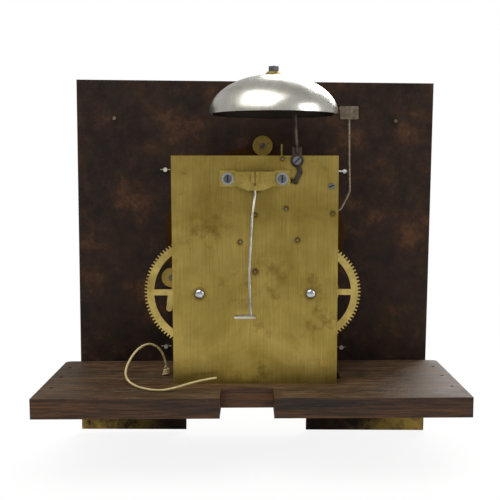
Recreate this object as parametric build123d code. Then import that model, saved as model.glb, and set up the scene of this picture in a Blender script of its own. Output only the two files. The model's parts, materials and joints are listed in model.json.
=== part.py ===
from build123d import *
import math
import os

# An eight-day striking longcase clock, out of its case: movement, square dial and seatboard.
# Millimetres. +Z is up and the dial faces -Y. The origin is on the underside of the seatboard,
# midway between the movement's plates and in line with the centre arbor.

os.makedirs("parts", exist_ok=True)

# Seatboard: an oak plank with a pendulum notch and two slots for the lines
board_length = 321.0
board_depth = 139.0
board_thick = 15.0
board_shift = 2.3
board_rear = 82.0
notch_width = 39.5
notch_shift = 6.3
notch_front = 50.0
line_slot_width = 10.0
line_slot_length = 44.0
line_slot_middle = -4.0
line_slot_strike = 62.5
line_slot_going = 56.0
nail_hole_r = 1.6
nail_inset = 8.0
nail_front_inset = 28.0
nail_pitch = 37.0
knot_hole_r = 1.6
knot_x = 71.4
knot_y = 3.2

# Movement plates and pillars
plate_width = 126.0
plate_height = 174.5
plate_thick = 3.2
plate_gap = 62.0
pillar_r = 4.6
pillar_collar_r = 6.4
pillar_collar = 2.4
pillar_knop_r = 6.0
pillar_end_r = 2.8
pillar_end_out = 5.0
pillar_pin_r = 0.9
pillar_pin_length = 13.0
pillar_x = 53.0
pillar_low_z = 31.0
pillar_top_z = 178.0

# Trains: tooth counts and modules
centre_z = 102.0
barrel_spread = 42.45
leaves = 8
fine_leaves = 7
going_teeth = 96
going_module = 0.88
centre_teeth = 60
centre_module = 0.75
third_teeth = 56
third_module = 0.73
escape_teeth = 30
escape_r = 15.4
strike_teeth = 84
strike_module = 0.92
pin_teeth = 64
pin_module = 0.70
pallet_teeth = 56
pallet_module = 0.66
warning_teeth = 49
warning_module = 0.62
escape_z = 145.0
pallet_arbor_z = 168.2
pin_wheel_angle = 76.0
gather_angle = 70.0
fly_x = -20.8
fly_z = 187.1
hammer_x = -58.8
hammer_z = 146.0

# Wheels: how far each stands from the inside of the back plate, and how it is cut
great_thick = 2.5
great_seat = 8.0
wheel_thick = 2.0
centre_seat = 3.0
third_seat = 50.0
escape_seat = 18.0
pin_seat = 57.0
pallet_seat = 32.0
warning_seat = 53.5
pinion_over = 1.2
great_rim = 6.5
wheel_rim = 3.4
great_hub_r = 10.0
wheel_hub_r = 4.6
great_spoke = 4.6
wheel_spoke = 2.6
arbor_r = 1.7
pivot_r = 0.8
great_arbor_r = 4.2
great_pivot_r = 2.6
pivot_fit = 0.05
sink_r = 2.0
sink_depth = 0.7

# Barrels
barrel_r = 22.0
barrel_flange_r = 22.9
barrel_flange = 2.4
barrel_length = 42.0
barrel_seat = 13.6
ratchet_teeth = 28
ratchet_r = 20.0
ratchet_thick = 2.4
groove_count = 6
groove_depth = 0.8
square_side = 5.6
square_length = 39.5
click_gap = 0.5
click_thick = 2.0
click_length = 13.0
click_width = 4.6

# Escapement, crutch and back cock
pallet_gap = 0.9
pallet_half_angle = 45.0
pallet_nose = 0.4
escape_tooth = 2.6
anchor_thick = 4.0
anchor_hub_r = 4.2
anchor_arm = 3.4
crutch_r = 1.05
crutch_collet_r = 3.6
crutch_collet = 4.0
crutch_gap = 4.5
crutch_drop = 98.4
crutch_reach = 14.0
crutch_side = 4.6
fork_length = 15.8
fork_depth = 9.0
fork_bar = 1.9
fork_thick = 1.7
cock_width = 53.0
cock_top = 178.4
cock_foot = 12.0
cock_foot_width = 12.2
cock_foot_thick = 2.6
cock_stand = 13.0
cock_wall = 3.0
cock_low = 14.8
cock_bridge = 29.5
cock_screw_spread = 20.4
cock_screw_z = 172.2
cock_screw_r = 1.7
cock_head_r = 3.1
cock_head = 2.4
cock_washer_r = 4.6
cock_washer = 1.0
cock_hole_r = 4.6
stud_width = 5.6
stud_height = 7.6
stud_out = 9.0
stud_slit = 1.1
screw_slot = 0.9
screw_slot_depth = 1.0

# Bell, its stand and the hammer
bell_x = -14.9
bell_r = 50.5
bell_rise = 30.6
bell_wall = 2.4
bell_rim_z = 222.0
bell_hole_r = 2.1
stand_x = -31.5
stand_screw_z = 185.8
stand_foot = 2.6
stand_pad_r = 5.0
stand_low_r = 3.6
stand_top_r = 2.0
stand_tail_drop = 15.6
stand_tail_r = 2.3
stand_seat_r = 4.0
stand_spigot_r = 2.0
stand_tail_bow = 2.4
stand_tail_turn = 1.0
stand_crook_shift = 2.0
stand_bow_shift = 6.4
stand_bow_drop = 7.4
stand_bend = 6.0
bell_washer_r = 6.4
bell_washer = 2.2
bell_nut_r = 3.9
bell_nut = 4.2
hammer_arbor_r = 2.2
hammer_stem_r = 1.1
hammer_collet_r = 3.8
hammer_collet = 7.0
hammer_y = 4.0
hammer_head_length = 14.2
hammer_head_height = 10.0
hammer_head_depth = 7.0
hammer_head_x = -73.5
hammer_gap = 1.0
hammer_head_rise = 1.0
hammer_head_edge = 0.8
hammer_elbow_x = 8.6
hammer_elbow_z = 2.4
hammer_bow = 1.0
hammer_bow_high = 0.4
hammer_bow_low_z = 16.0
hammer_bow_high_z = 40.0
hammer_bend = 5.0
hammer_tail_width = 3.0
hammer_tail_thick = 2.0
pin_circle_r = 18.0
hammer_pin_r = 0.75
hammer_pin_length = 4.0
hammer_pins = 8
tail_clear = 0.5
stop_rod_r = 0.8
stop_gap = 0.7
spring_thick = 0.6
spring_width = 4.0
spring_air = 1.4
spring_screw_z = 166.7
spring_screw_x = -57.7

# Fly
fly_half = 11.6
fly_blade = 0.6
fly_length = 28.0
fly_seat = 14.0
fly_hub_r = 2.4
fly_arbor_r = 1.2

# Dial, rings and spandrels
dial_side = 304.8
dial_thick = 2.4
dial_back = 105.0
dial_lean = -0.5
dial_cut_width = 106.7
dial_cut_height = 21.0
dial_cut_x = 6.3
dial_cut_corner = 9.0
ring_outer_r = 128.0
ring_inner_r = 90.0
ring_thick = 1.6
seconds_outer_r = 22.0
seconds_inner_r = 14.5
winding_hole_r = 5.6
centre_hole_r = 7.0
seconds_hole_r = 3.2
date_hole_width = 12.0
date_hole_height = 9.0
date_ring_z = 120.5
date_ring_r = 78.0
date_ring_width = 11.5
date_ring_thick = 1.4
date_ring_gap = 0.4
date_teeth = 62
date_tooth = 2.0
keeper_r = 8.5
keeper_post_r = 1.6
keeper_gap = 0.3
keeper_thick = 1.6
keeper_count = 3
keeper_first = 94.5
keeper_screw_r = 1.1
keeper_head_r = 2.6
foot_r = 3.0
foot_shoulder = 2.0
foot_shoulder_r = 4.2
foot_low_x = 34.0
foot_low_z = 24.0
foot_top_x = 48.0
foot_top_z = 156.0
foot_inside = 5.0
foot_pin_r = 0.8
foot_pin_length = 10.0
ring_foot_circle = 109.0
ring_foot_r = 1.8
ring_foot_out = 4.0
ring_pin_r = 0.6
ring_pin_length = 9.0
spandrel_thick = 2.6
spandrel_inset = 7.0
spandrel_gap = 13.0
spandrel_head = 1.4
scroll_far = 0.78
scroll_near = 0.30
scroll_share = 0.15
spandrel_screw_r = 1.5
spandrel_screw_out = 3.2

# Motion work and striking work on the front plate
front_air = 1.4
lever_thick = 2.0
minute_seat = 5.0
minute_teeth = 36
minute_module = 0.80
hour_seat = 11.2
hour_leaves = 6
hour_teeth = 72
snail_thick = 1.8
snail_high_r = 24.0
snail_low_r = 9.5
snail_lead = 9.0
pipe_wall = 0.9
centre_front_r = 1.9
stud_pin_r = 1.6
stud_head_r = 2.6
stud_head = 1.2
stud_air = 0.2
minute_stud_r = 1.0
minute_root = 1.15
bridge_reach = 22.8
bridge_angle = 40.0
bridge_spread = 15.0
bridge_wall = 2.0
bridge_ring_r = 7.5
bridge_air = 0.5
bridge_head = 1.0
bridge_pipe_air = 0.15
hour_pipe_air = 0.08
rack_x = -30.0
rack_z = 62.0
rack_teeth = 14
rack_step = 1.55
rack_depth = 2.0
rack_rim = 5.0
rack_arm = 5.0
rack_hub_r = 4.6
rack_tail = 46.0
rack_tail_width = 3.4
rack_pin_r = 1.0
tail_air = 0.4
rack_air = 0.5
rack_lead = 1.0
rack_undercut = 0.3
snail_air = 1.4
tail_thick = 1.5
gather_finger = 4.6
gather_width = 1.8
gather_hub_r = 2.4
hook_x = 14.0
hook_z = 158.0
hook_nose_x = -38.0
hook_arm = 4.6
hook_nose = 0.6
lift_x = 33.0
lift_z = 112.0
lift_reach_x = -12.0
lift_gap = 0.5
lift_arm = 3.4
lift_end_share = 0.8
lift_knee_x = 0.42
lift_knee_z = 0.90
lift_pin_air = 0.4
lift_pin_circle = 11.0
lift_pin_r = 0.7

# Hands
hand_thick = 0.9
minute_hand = 112.0
hour_hand = 78.0
seconds_hand = 17.5
hand_boss_r = 6.5
minute_hand_air = 7.0
minute_hand_width = 2.2
minute_loop_r = 5.4
minute_loop_wire = 2.0
minute_blade = 1.5
minute_point = 0.25
hour_hand_air = 3.4
hour_boss_r = 8.0
hour_hand_width = 2.6
hour_loop_r = 7.0
hour_loop_wire = 2.4
hour_leaf = 5.2
seconds_hand_air = 1.2
seconds_boss_r = 2.4
seconds_tail = 6.0
seconds_width = 1.0
seconds_end = 2.6

# Gut line of the going weight, with its knot on the seatboard
line_r = 0.9
knot_r = 3.0
knot_height = 8.0
knot_foot = 1.6
knot_belly = 2.4
line_points = [
    (71.4, 3.2, 24.2),
    (73.0, 4.6, 32.4),
    (77.4, 7.2, 39.4),
    (84.6, 10.6, 43.0),
    (92.6, 15.6, 39.2),
    (98.6, 22.0, 31.2),
    (101.0, 30.6, 23.4),
    (97.6, 39.6, 18.6),
    (90.0, 48.6, 16.4),
    (80.0, 57.0, 15.9),
    (69.6, 60.6, 16.0),
    (60.0, 58.4, 17.4),
    (50.4, 54.0, 19.6),
    (40.0, 49.8, 21.4),
    (29.6, 46.2, 22.4),
]

# Seatboard screws
seat_screw_r = 2.4
seat_head_r = 5.0
seat_head = 3.4
seat_hold = 6.0
seat_screw_y = 25.0

# How far a piece that is joined to another runs into it
root = 1.0

# Planes worked out from the sizes above
inside = plate_gap / 2
rear_face = inside + plate_thick
plate_low = board_thick
plate_top = board_thick + plate_height
front_face = -rear_face
dial_rear_y = rear_face - dial_back
dial_front_y = dial_rear_y - dial_thick


def along(angle, distance, start=(0, 0)):
    """A point of the X-Z plane at a distance and an angle from another."""
    turn = math.radians(angle)
    return (start[0] + distance * math.cos(turn), start[1] + distance * math.sin(turn))


def meet(first, first_r, second, second_r, side):
    """Where circles about two points cross, on one side of the line between them."""
    dx = second[0] - first[0]
    dz = second[1] - first[1]
    span = math.hypot(dx, dz)
    run = (span**2 + first_r**2 - second_r**2) / (2 * span)
    rise = side * math.sqrt(first_r**2 - run**2)
    return (first[0] + (dx * run - dz * rise) / span, first[1] + (dz * run + dx * rise) / span)


def mesh(teeth, pinion, module):
    """Distance between the axes of a wheel and its pinion."""
    return module * (teeth + pinion) / 2


# Where the arbors stand, as X and Z
going_reach = mesh(going_teeth, leaves, going_module)
barrel_z = centre_z - math.sqrt(going_reach**2 - barrel_spread**2)
centre = (0, centre_z)
going = (barrel_spread, barrel_z)
strike = (-barrel_spread, barrel_z)
escape = (0, escape_z)
pallets = (0, pallet_arbor_z)
third = meet(
    centre,
    mesh(centre_teeth, leaves, centre_module),
    escape,
    mesh(third_teeth, fine_leaves, third_module),
    -1,
)
pin_arbor = along(pin_wheel_angle, mesh(strike_teeth, leaves, strike_module), strike)
gather = along(gather_angle, mesh(pin_teeth, leaves, pin_module), pin_arbor)
fly = (fly_x, fly_z)
warning = meet(
    gather,
    mesh(pallet_teeth, leaves, pallet_module),
    fly,
    mesh(warning_teeth, fine_leaves, warning_module),
    1,
)
hammer = (hammer_x, hammer_z)
motion_reach = mesh(minute_teeth, minute_teeth, minute_module)
minute_stud = (0, centre_z - motion_reach)
hour_module = 2 * motion_reach / (hour_teeth + hour_leaves)


def seen_from_front(point, depth):
    """A frame at a depth in front of the back plate's inside, with its own Z towards the dial."""
    origin = (point[0], inside - depth, point[1])
    return Location(Plane(origin=origin, x_dir=(1, 0, 0), z_dir=(0, -1, 0)))


def rod(radius, length):
    return Cylinder(radius, length, align=(Align.CENTER, Align.CENTER, Align.MIN))


def turned(sections):
    """A turned piece from (radius, length) steps, built up along Z."""
    outline = [(0, 0)]
    height = 0
    for radius, length in sections:
        outline.append((radius, height))
        height += length
        outline.append((radius, height))
    outline.append((0, height))
    face = make_face(Polyline(*[(x, 0, z) for x, z in outline], close=True))
    return revolve(face, Axis.Z)


def ring(outer, inner, height):
    return extrude(Circle(outer) - Circle(inner), height)


def toothed(teeth, module, first_angle, tooth_share=0.47, addendum=1.0, dedendum=1.35):
    """The outline of a wheel whose first tooth points at an angle in degrees."""
    pitch_r = module * teeth / 2
    step = 360 / teeth
    points = []
    for index in range(teeth):
        middle = first_angle + index * step
        root_half = step * tooth_share * 0.62
        tip_half = step * tooth_share * 0.30
        points.append(along(middle - root_half, pitch_r - dedendum * module))
        points.append(along(middle - tip_half, pitch_r + addendum * module))
        points.append(along(middle + tip_half, pitch_r + addendum * module))
        points.append(along(middle + root_half, pitch_r - dedendum * module))
    return make_face(Polyline(*points, close=True))


def pinion(count, module, first_angle, length):
    """A leaf pinion: narrow leaves that run clear in the wheel's gaps."""
    face = toothed(count, module, first_angle, tooth_share=0.33, addendum=0.7, dedendum=1.4)
    return extrude(face, length)


def crossed(outline, rim_inner, hub, spokes, spoke, bore, thick):
    """A wheel blank with its windows crossed out, leaving straight spokes."""
    windows = Circle(rim_inner) - Circle(hub)
    for index in range(spokes):
        arm = Rectangle(rim_inner + hub, spoke, align=(Align.MIN, Align.CENTER))
        windows -= Rot(Z=index * 360 / spokes) * arm
    return extrude(outline - windows - Circle(bore), thick)


def gear_phase(angle, driver_teeth, driver_first, driven_teeth):
    """First-tooth angle of a driven wheel, so that a gap of it faces a tooth of its driver."""
    driver_step = 360 / driver_teeth
    driven_step = 360 / driven_teeth
    offset = (angle - driver_first) / driver_step
    offset -= math.floor(offset)
    return angle + 180 + driven_step / 2 + offset * driven_step


def bearing(angle_from, angle_to):
    dx = angle_to[0] - angle_from[0]
    dz = angle_to[1] - angle_from[1]
    return math.degrees(math.atan2(dz, dx))


def pipe_between(points, radius, bend):
    """A bent round bar along straight runs joined by arcs."""
    path = FilletPolyline(*points, radius=bend)
    start = path.edges()[0]
    section = Plane(origin=start @ 0, z_dir=start % 0) * Circle(radius)
    return sweep(section, path)


def slotted(head_r, head, shank_r, shank, slot_turn=0):
    """A cheese-head screw: head up, shank down, with a cut slot."""
    screw = rod(head_r, head) + Pos(0, 0, -shank) * rod(shank_r, shank)
    slot = Box(2 * head_r + 1, screw_slot, 2 * screw_slot_depth)
    return screw - Pos(0, 0, head) * Rot(Z=slot_turn) * slot


def facing_rear(point, y):
    """A frame on a plane of constant Y, with its own Z towards the rear."""
    return Location(Plane(origin=(point[0], y, point[1]), x_dir=(-1, 0, 0), z_dir=(0, 1, 0)))


def facing_front(point, y):
    """The same, with its own Z towards the dial."""
    return Location(Plane(origin=(point[0], y, point[1]), x_dir=(1, 0, 0), z_dir=(0, -1, 0)))


def bar(start, end, width):
    """A flat round-ended bar between two points of a plane."""
    length = math.hypot(end[0] - start[0], end[1] - start[1])
    middle = ((start[0] + end[0]) / 2, (start[1] + end[1]) / 2)
    slot = SlotCenterToCenter(length, width)
    return Pos(*middle) * Rot(Z=bearing(start, end)) * slot


made = {}


def keep(name, *solids):
    """Hold a node's solids under its name."""
    made[name] = solids[0] if len(solids) == 1 else Compound(children=[s for s in solids])


# Seatboard, sawn from one plank
def make_seatboard():
    middle_y = board_rear - board_depth / 2
    outline = Pos(board_shift, middle_y) * Rectangle(board_length, board_depth)
    outline -= Pos(notch_shift, board_rear) * Rectangle(notch_width, 2 * (board_rear - notch_front))
    for x in (line_slot_going, -line_slot_strike):
        outline -= Pos(x, line_slot_middle) * Rectangle(line_slot_width, line_slot_length)
    for x in nail_columns():
        for y in nail_rows():
            outline -= Pos(x, y) * Circle(nail_hole_r)
    outline -= Pos(knot_x, knot_y) * Circle(knot_hole_r)
    board = extrude(outline, board_thick)
    edges = board.edges().filter_by(Axis.Z).group_by(Axis.X)
    board = fillet([edges[0][0], edges[-1][0]], board_thick / 3)
    for x in (pillar_x, -pillar_x):
        board -= Pos(x, seat_screw_y, 0) * rod(seat_screw_r + pivot_fit, board_thick)
        board -= Pos(x, seat_screw_y, 0) * rod(seat_head_r + pivot_fit, seat_head)
    return board


def nail_columns():
    half = board_length / 2 - nail_inset
    return (board_shift - half, board_shift + half)


def nail_rows():
    first = board_rear - board_depth + nail_front_inset
    return (first, first + nail_pitch, first + 2 * nail_pitch)


keep("seatboard", make_seatboard())


# Screws up through the seatboard into the bottom pillars
def make_seat_screw(x):
    reach = pillar_low_z - pillar_r + seat_hold - seat_head
    screw = slotted(seat_head_r, seat_head, seat_screw_r, reach, 0)
    return Pos(x, seat_screw_y, seat_head) * Rot(X=180) * screw


keep("seatboard_screws", make_seat_screw(pillar_x), make_seat_screw(-pillar_x))


# Every arbor, with the pivot radius that its plate holes take
def arbor_holes(front):
    holes = [
        (centre, pivot_r if not front else centre_front_r),
        (third, pivot_r),
        (escape, pivot_r),
        (pin_arbor, pivot_r),
        (gather, pivot_r),
        (warning, pivot_r),
        (fly, pivot_r),
        (hammer, pivot_r),
        (going, great_pivot_r if not front else great_arbor_r),
        (strike, great_pivot_r if not front else great_arbor_r),
    ]
    return holes


def pillar_places():
    return [(x, z) for x in (-pillar_x, pillar_x) for z in (pillar_low_z, pillar_top_z)]


def plate_blank():
    middle = (plate_low + plate_top) / 2
    return Pos(0, middle) * Rectangle(plate_width, plate_height)


def foot_places():
    """Where the dial's feet stand, as the dial leans on its centre."""
    turn = math.radians(-dial_lean)
    spots = []
    for x, z in (
        (-foot_low_x, foot_low_z),
        (foot_low_x, foot_low_z),
        (-foot_top_x, foot_top_z),
        (foot_top_x, foot_top_z),
    ):
        dz = z - centre_z
        spots.append(
            (
                x * math.cos(turn) - dz * math.sin(turn),
                centre_z + x * math.sin(turn) + dz * math.cos(turn),
            )
        )
    return spots


def make_back_plate():
    outline = plate_blank()
    for point, radius in arbor_holes(False):
        outline -= Pos(*point) * Circle(radius + pivot_fit)
    outline -= Pos(*pallets) * Circle(cock_hole_r)
    for point in pillar_places():
        outline -= Pos(*point) * Circle(pillar_end_r)
    for x in (-cock_screw_spread, cock_screw_spread):
        outline -= Pos(x, cock_screw_z) * Circle(cock_screw_r)
    outline -= Pos(stand_x, stand_screw_z) * Circle(cock_screw_r)
    outline -= Pos(spring_screw_x, spring_screw_z) * Circle(cock_screw_r)
    plate = seen_from_front((0, 0), -plate_thick) * extrude(outline, plate_thick)
    for point, radius in arbor_holes(False):
        if radius == pivot_r:
            cone = Cone(pivot_r, sink_r, sink_depth)
            plate -= facing_rear(point, rear_face - sink_depth / 2) * cone
    return plate


def make_front_plate():
    outline = plate_blank()
    for point, radius in arbor_holes(True):
        outline -= Pos(*point) * Circle(radius + pivot_fit)
    outline -= Pos(*pallets) * Circle(pivot_r + pivot_fit)
    for point in pillar_places():
        outline -= Pos(*point) * Circle(pillar_end_r + pivot_fit)
    for point in foot_places():
        outline -= Pos(*point) * Circle(foot_r + pivot_fit * 2)
    for point in front_studs():
        outline -= Pos(*point) * Circle(stud_pin_r)
    for point in bridge_feet():
        outline -= Pos(*point) * Circle(cock_screw_r)
    return facing_front((0, 0), -inside) * extrude(outline, plate_thick)


def front_studs():
    return [(rack_x, rack_z), (hook_x, hook_z), (lift_x, lift_z), minute_stud]


def bridge_feet():
    angles = (bridge_angle - bridge_spread, bridge_angle + bridge_spread)
    return [along(angle, bridge_reach, centre) for angle in angles]


keep("back_plate", make_back_plate())
keep("front_plate", make_front_plate())


# Turned brass pillars, riveted in the back plate and pinned outside the front plate
def make_pillar(point):
    knop = plate_gap / 2 - pillar_collar
    middle = 2 * pillar_collar
    sections = [
        (pillar_end_r, plate_thick),
        (pillar_collar_r, pillar_collar),
        (pillar_r, knop - middle / 2),
        (pillar_knop_r, middle),
        (pillar_r, knop - middle / 2),
        (pillar_collar_r, pillar_collar),
        (pillar_end_r, plate_thick + pillar_end_out),
    ]
    body = seen_from_front(point, -plate_thick) * turned(sections)
    cut = Pos(point[0], front_face - pillar_pin_r, point[1])
    body -= cut * Rot(Y=90) * Cylinder(pillar_pin_r, 4 * pillar_end_r)
    if point[1] == pillar_low_z:
        low = point[1] - pillar_r
        body -= Pos(point[0], seat_screw_y, low - seat_hold) * rod(seat_screw_r, 2 * seat_hold)
    if point == (-pillar_x, pillar_top_z):
        body -= stop_wire()
    return body


def stop_wire():
    """The wire driven into the top pillar, which stops the hammer's stem."""
    reach = -pillar_x - hammer_head_x - hammer_stem_r - stop_gap
    return Pos(-pillar_x, hammer_y, pillar_top_z) * Rot(Y=-90) * rod(stop_rod_r, reach)


def make_pillar_pin(point):
    place = Pos(point[0], front_face - pillar_pin_r, point[1])
    return place * Rot(Y=90) * Cylinder(pillar_pin_r, pillar_pin_length)


keep("pillars", *[make_pillar(point) for point in pillar_places()])


# Great wheels and barrels
def great_wheel(place, teeth, module, first):
    pitch_r = teeth * module / 2
    blank = toothed(teeth, module, first)
    wheel = crossed(
        blank, pitch_r - great_rim, great_hub_r, 4, great_spoke, great_arbor_r + pivot_fit, great_thick
    )
    return seen_from_front(place, great_seat) * wheel


def click(place):
    """The click on the face of the great wheel, lifted just clear of the ratchet."""
    reach = ratchet_r + click_gap
    nose = (reach + click_width / 2, 0)
    heel = (reach + click_width / 2 + click_width / 3, -click_length)
    pawl = bar(nose, heel, click_width)
    pawl -= Circle(reach)
    tip = extrude(pawl, click_thick)
    screw = Pos(heel[0], heel[1], click_thick) * rod(click_width / 3, screw_slot_depth)
    return seen_from_front(place, great_seat + great_thick) * (tip + screw)


def ratchet_face():
    points = []
    step = 360 / ratchet_teeth
    for index in range(ratchet_teeth):
        points.append(along(index * step, ratchet_r))
        points.append(along((index + 1) * step - 1, ratchet_r - click_thick))
    return make_face(Polyline(*points, close=True))


def make_barrel(place):
    """The drum with its two flanges and a run of line grooves, on the ratchet's boss."""
    half = barrel_flange
    land = (barrel_length - 2 * half) / (2 * groove_count + 1)
    sections = [(barrel_flange_r, half)]
    for _ in range(groove_count):
        sections.append((barrel_r, land))
        sections.append((barrel_r - groove_depth, land))
    sections.append((barrel_r, land))
    sections.append((barrel_flange_r, half))
    drum = turned(sections) - rod(great_arbor_r, barrel_length)
    return seen_from_front(place, barrel_seat) * drum


def make_ratchet(place):
    face = ratchet_face() - Circle(great_arbor_r)
    seat = great_seat + great_thick + pivot_fit * 4
    thick = barrel_seat - seat
    return seen_from_front(place, seat) * extrude(face, thick)


def make_barrel_arbor(place):
    collar = great_seat - click_gap
    sections = [
        (great_pivot_r, plate_thick + 1),
        (great_arbor_r + 1, collar),
        (great_arbor_r, plate_gap - collar + plate_thick + 1),
    ]
    start = -plate_thick - 1 / 2
    shaft = seen_from_front(place, start - 1 / 2) * turned(sections)
    standing = (Align.CENTER, Align.CENTER, Align.MIN)
    square = Box(square_side, square_side, square_length, align=standing)
    seat = plate_gap + plate_thick + 1
    return shaft + seen_from_front(place, seat) * square


great_first = 0.0
strike_first = 0.0
keep(
    "going_great_wheel",
    great_wheel(going, going_teeth, going_module, great_first),
    click(going),
)
keep(
    "strike_great_wheel",
    great_wheel(strike, strike_teeth, strike_module, strike_first),
    click(strike),
)
keep("going_barrel", make_barrel(going) + make_ratchet(going))
keep("strike_barrel", make_barrel(strike) + make_ratchet(strike))
keep("going_barrel_arbor", make_barrel_arbor(going))
keep("strike_barrel_arbor", make_barrel_arbor(strike))


# Train arbors with their pinions, and the wheels on them
def train_arbor(
    place, leaf_count, leaf_module, first, seat, length, front=0, front_r=pivot_r, body_r=arbor_r
):
    """One steel arbor between the plates, its pivots running in them."""
    sections = [(pivot_r, plate_thick), (body_r, plate_gap - 1), (pivot_r, plate_thick + 1 / 2)]
    shaft = seen_from_front(place, -plate_thick + 1 / 2) * turned(sections)
    if front:
        shaft += seen_from_front(place, plate_gap) * rod(front_r, front)
    leaf = pinion(leaf_count, leaf_module, first, length)
    return shaft + seen_from_front(place, seat) * leaf


def train_wheel(place, teeth, module, first, seat, spokes=4):
    pitch_r = teeth * module / 2
    blank = toothed(teeth, module, first)
    wheel = crossed(
        blank, pitch_r - wheel_rim, wheel_hub_r, spokes, wheel_spoke, arbor_r, wheel_thick
    )
    return seen_from_front(place, seat) * wheel


pinion_length = great_thick + 2 * pinion_over
fine_length = wheel_thick + 2 * pinion_over

centre_first = gear_phase(bearing(going, centre), going_teeth, great_first, leaves)
centre_wheel_first = 0.0
third_first = gear_phase(bearing(centre, third), centre_teeth, centre_wheel_first, leaves)
third_wheel_first = 0.0
escape_first = gear_phase(bearing(third, escape), third_teeth, third_wheel_first, fine_leaves)
pin_first = gear_phase(bearing(strike, pin_arbor), strike_teeth, strike_first, leaves)
pin_wheel_first = 0.0
gather_first = gear_phase(bearing(pin_arbor, gather), pin_teeth, pin_wheel_first, leaves)
pallet_wheel_first = 0.0
warning_first = gear_phase(bearing(gather, warning), pallet_teeth, pallet_wheel_first, leaves)
warning_wheel_first = 0.0
fly_first = gear_phase(bearing(warning, fly), warning_teeth, warning_wheel_first, fine_leaves)

minute_hand_y = dial_front_y - ring_thick - minute_hand_air
hour_hand_y = dial_front_y - ring_thick - hour_hand_air


def make_centre_arbor():
    length = -minute_hand_y - inside + hand_thick + 1
    shaft = train_arbor(
        centre,
        leaves,
        going_module,
        centre_first,
        great_seat - pinion_over,
        pinion_length,
        length,
        centre_front_r,
    )
    return shaft


keep("centre_arbor", make_centre_arbor())
keep("centre_wheel", train_wheel(centre, centre_teeth, centre_module, centre_wheel_first, centre_seat))
keep(
    "third_wheel",
    train_wheel(third, third_teeth, third_module, third_wheel_first, third_seat),
    train_arbor(third, leaves, centre_module, third_first, centre_seat - pinion_over, fine_length),
)

seconds_reach = -dial_front_y - inside + ring_thick + seconds_end
keep(
    "escape_arbor",
    train_arbor(
        escape,
        fine_leaves,
        third_module,
        escape_first,
        third_seat - pinion_over,
        fine_length,
        seconds_reach,
        pivot_r,
    ),
)


def make_escape_wheel():
    """Thirty raked teeth with sharp points, as a recoil escapement has."""
    points = []
    step = 360 / escape_teeth
    tooth = escape_tooth
    for index in range(escape_teeth):
        tip = index * step
        points.append(along(tip, escape_r))
        points.append(along(tip + step / 3, escape_r - tooth))
        points.append(along(tip + step - step / 6, escape_r - tooth))
    blank = make_face(Polyline(*points, close=True))
    wheel = crossed(
        blank, escape_r - tooth - wheel_rim / 2, wheel_hub_r, 4, wheel_spoke, arbor_r, wheel_thick
    )
    return seen_from_front(escape, escape_seat) * wheel


keep("escape_wheel", make_escape_wheel())


def make_hammer_pins():
    pins = []
    for index in range(hammer_pins):
        spot = along((index + 0.5) * 360 / hammer_pins, pin_circle_r, pin_arbor)
        place = seen_from_front(spot, pin_seat - hammer_pin_length)
        pins.append(place * rod(hammer_pin_r, hammer_pin_length))
    return pins


keep(
    "pin_wheel",
    train_wheel(pin_arbor, pin_teeth, pin_module, pin_wheel_first, pin_seat),
    train_arbor(
        pin_arbor, leaves, strike_module, pin_first, great_seat - pinion_over, pinion_length
    ),
    *make_hammer_pins(),
)
keep(
    "gathering_wheel",
    train_wheel(gather, pallet_teeth, pallet_module, pallet_wheel_first, pallet_seat),
    train_arbor(
        gather,
        leaves,
        pin_module,
        gather_first,
        pin_seat - pinion_over,
        fine_length,
        plate_thick + front_air + lever_thick + 1,
        pivot_r,
    ),
)


def make_gathering_pallet():
    """A hub with one finger, outside the front plate."""
    end = along(-45, gather_finger - gather_width / 2)
    finger = Circle(gather_hub_r) + bar((0, 0), end, gather_width)
    body = extrude(finger, lever_thick) - rod(pivot_r, lever_thick)
    return facing_front(gather, front_face - front_air) * body


keep("gathering_pallet", make_gathering_pallet())
keep(
    "warning_wheel",
    train_wheel(warning, warning_teeth, warning_module, warning_wheel_first, warning_seat, 3),
    train_arbor(
        warning, leaves, pallet_module, warning_first, pallet_seat - pinion_over, fine_length
    ),
)


def make_fly():
    """The air brake: one thin blade across a tube that grips the arbor."""
    blade = Box(fly_blade, 2 * fly_half, fly_length, align=(Align.CENTER, Align.CENTER, Align.MIN))
    body = blade + rod(fly_hub_r, fly_length) - rod(fly_arbor_r, fly_length)
    return seen_from_front(fly, fly_seat) * body


keep(
    "fly",
    make_fly(),
    train_arbor(
        fly,
        fine_leaves,
        warning_module,
        fly_first,
        warning_seat - pinion_over,
        fine_length,
        body_r=fly_arbor_r,
    ),
)


# Anchor, pallet arbor and crutch
def make_anchor():
    """The recoil anchor: an arched steel bar with a bent pallet at each end."""
    drop = pallet_arbor_z - escape_z
    reach = escape_r + pallet_gap
    tip = along(90 - pallet_half_angle, reach)
    tip = (tip[0], tip[1] - drop)
    heel = (tip[0] + anchor_arm, tip[1] + root)
    shoulder = (heel[0] + root, -anchor_arm)
    right = [
        (0, anchor_hub_r),
        (shoulder[0] * 0.6, anchor_arm),
        (shoulder[0], shoulder[1]),
        heel,
        tip,
        (tip[0] - pallet_nose, tip[1] + anchor_arm),
        (shoulder[0] * 0.45, -anchor_arm * 0.55),
    ]
    left = [(-x, z) for x, z in reversed(right[1:])]
    face = make_face(Polyline(*(right + left), close=True)) + Circle(anchor_hub_r)
    body = extrude(face - Circle(arbor_r), anchor_thick)
    return seen_from_front(pallets, escape_seat - (anchor_thick - wheel_thick) / 2) * body


cock_inner = rear_face + cock_stand - cock_wall
crutch_y = rear_face + crutch_gap


def make_pallet_arbor():
    sections = [
        (pivot_r, cock_wall - 1),
        (arbor_r, cock_inner + inside - 1 / 2),
        (pivot_r, plate_thick),
    ]
    start = inside - cock_inner - cock_wall + 1
    return seen_from_front(pallets, start) * turned(sections)


keep("anchor", make_anchor() + make_pallet_arbor())


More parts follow.
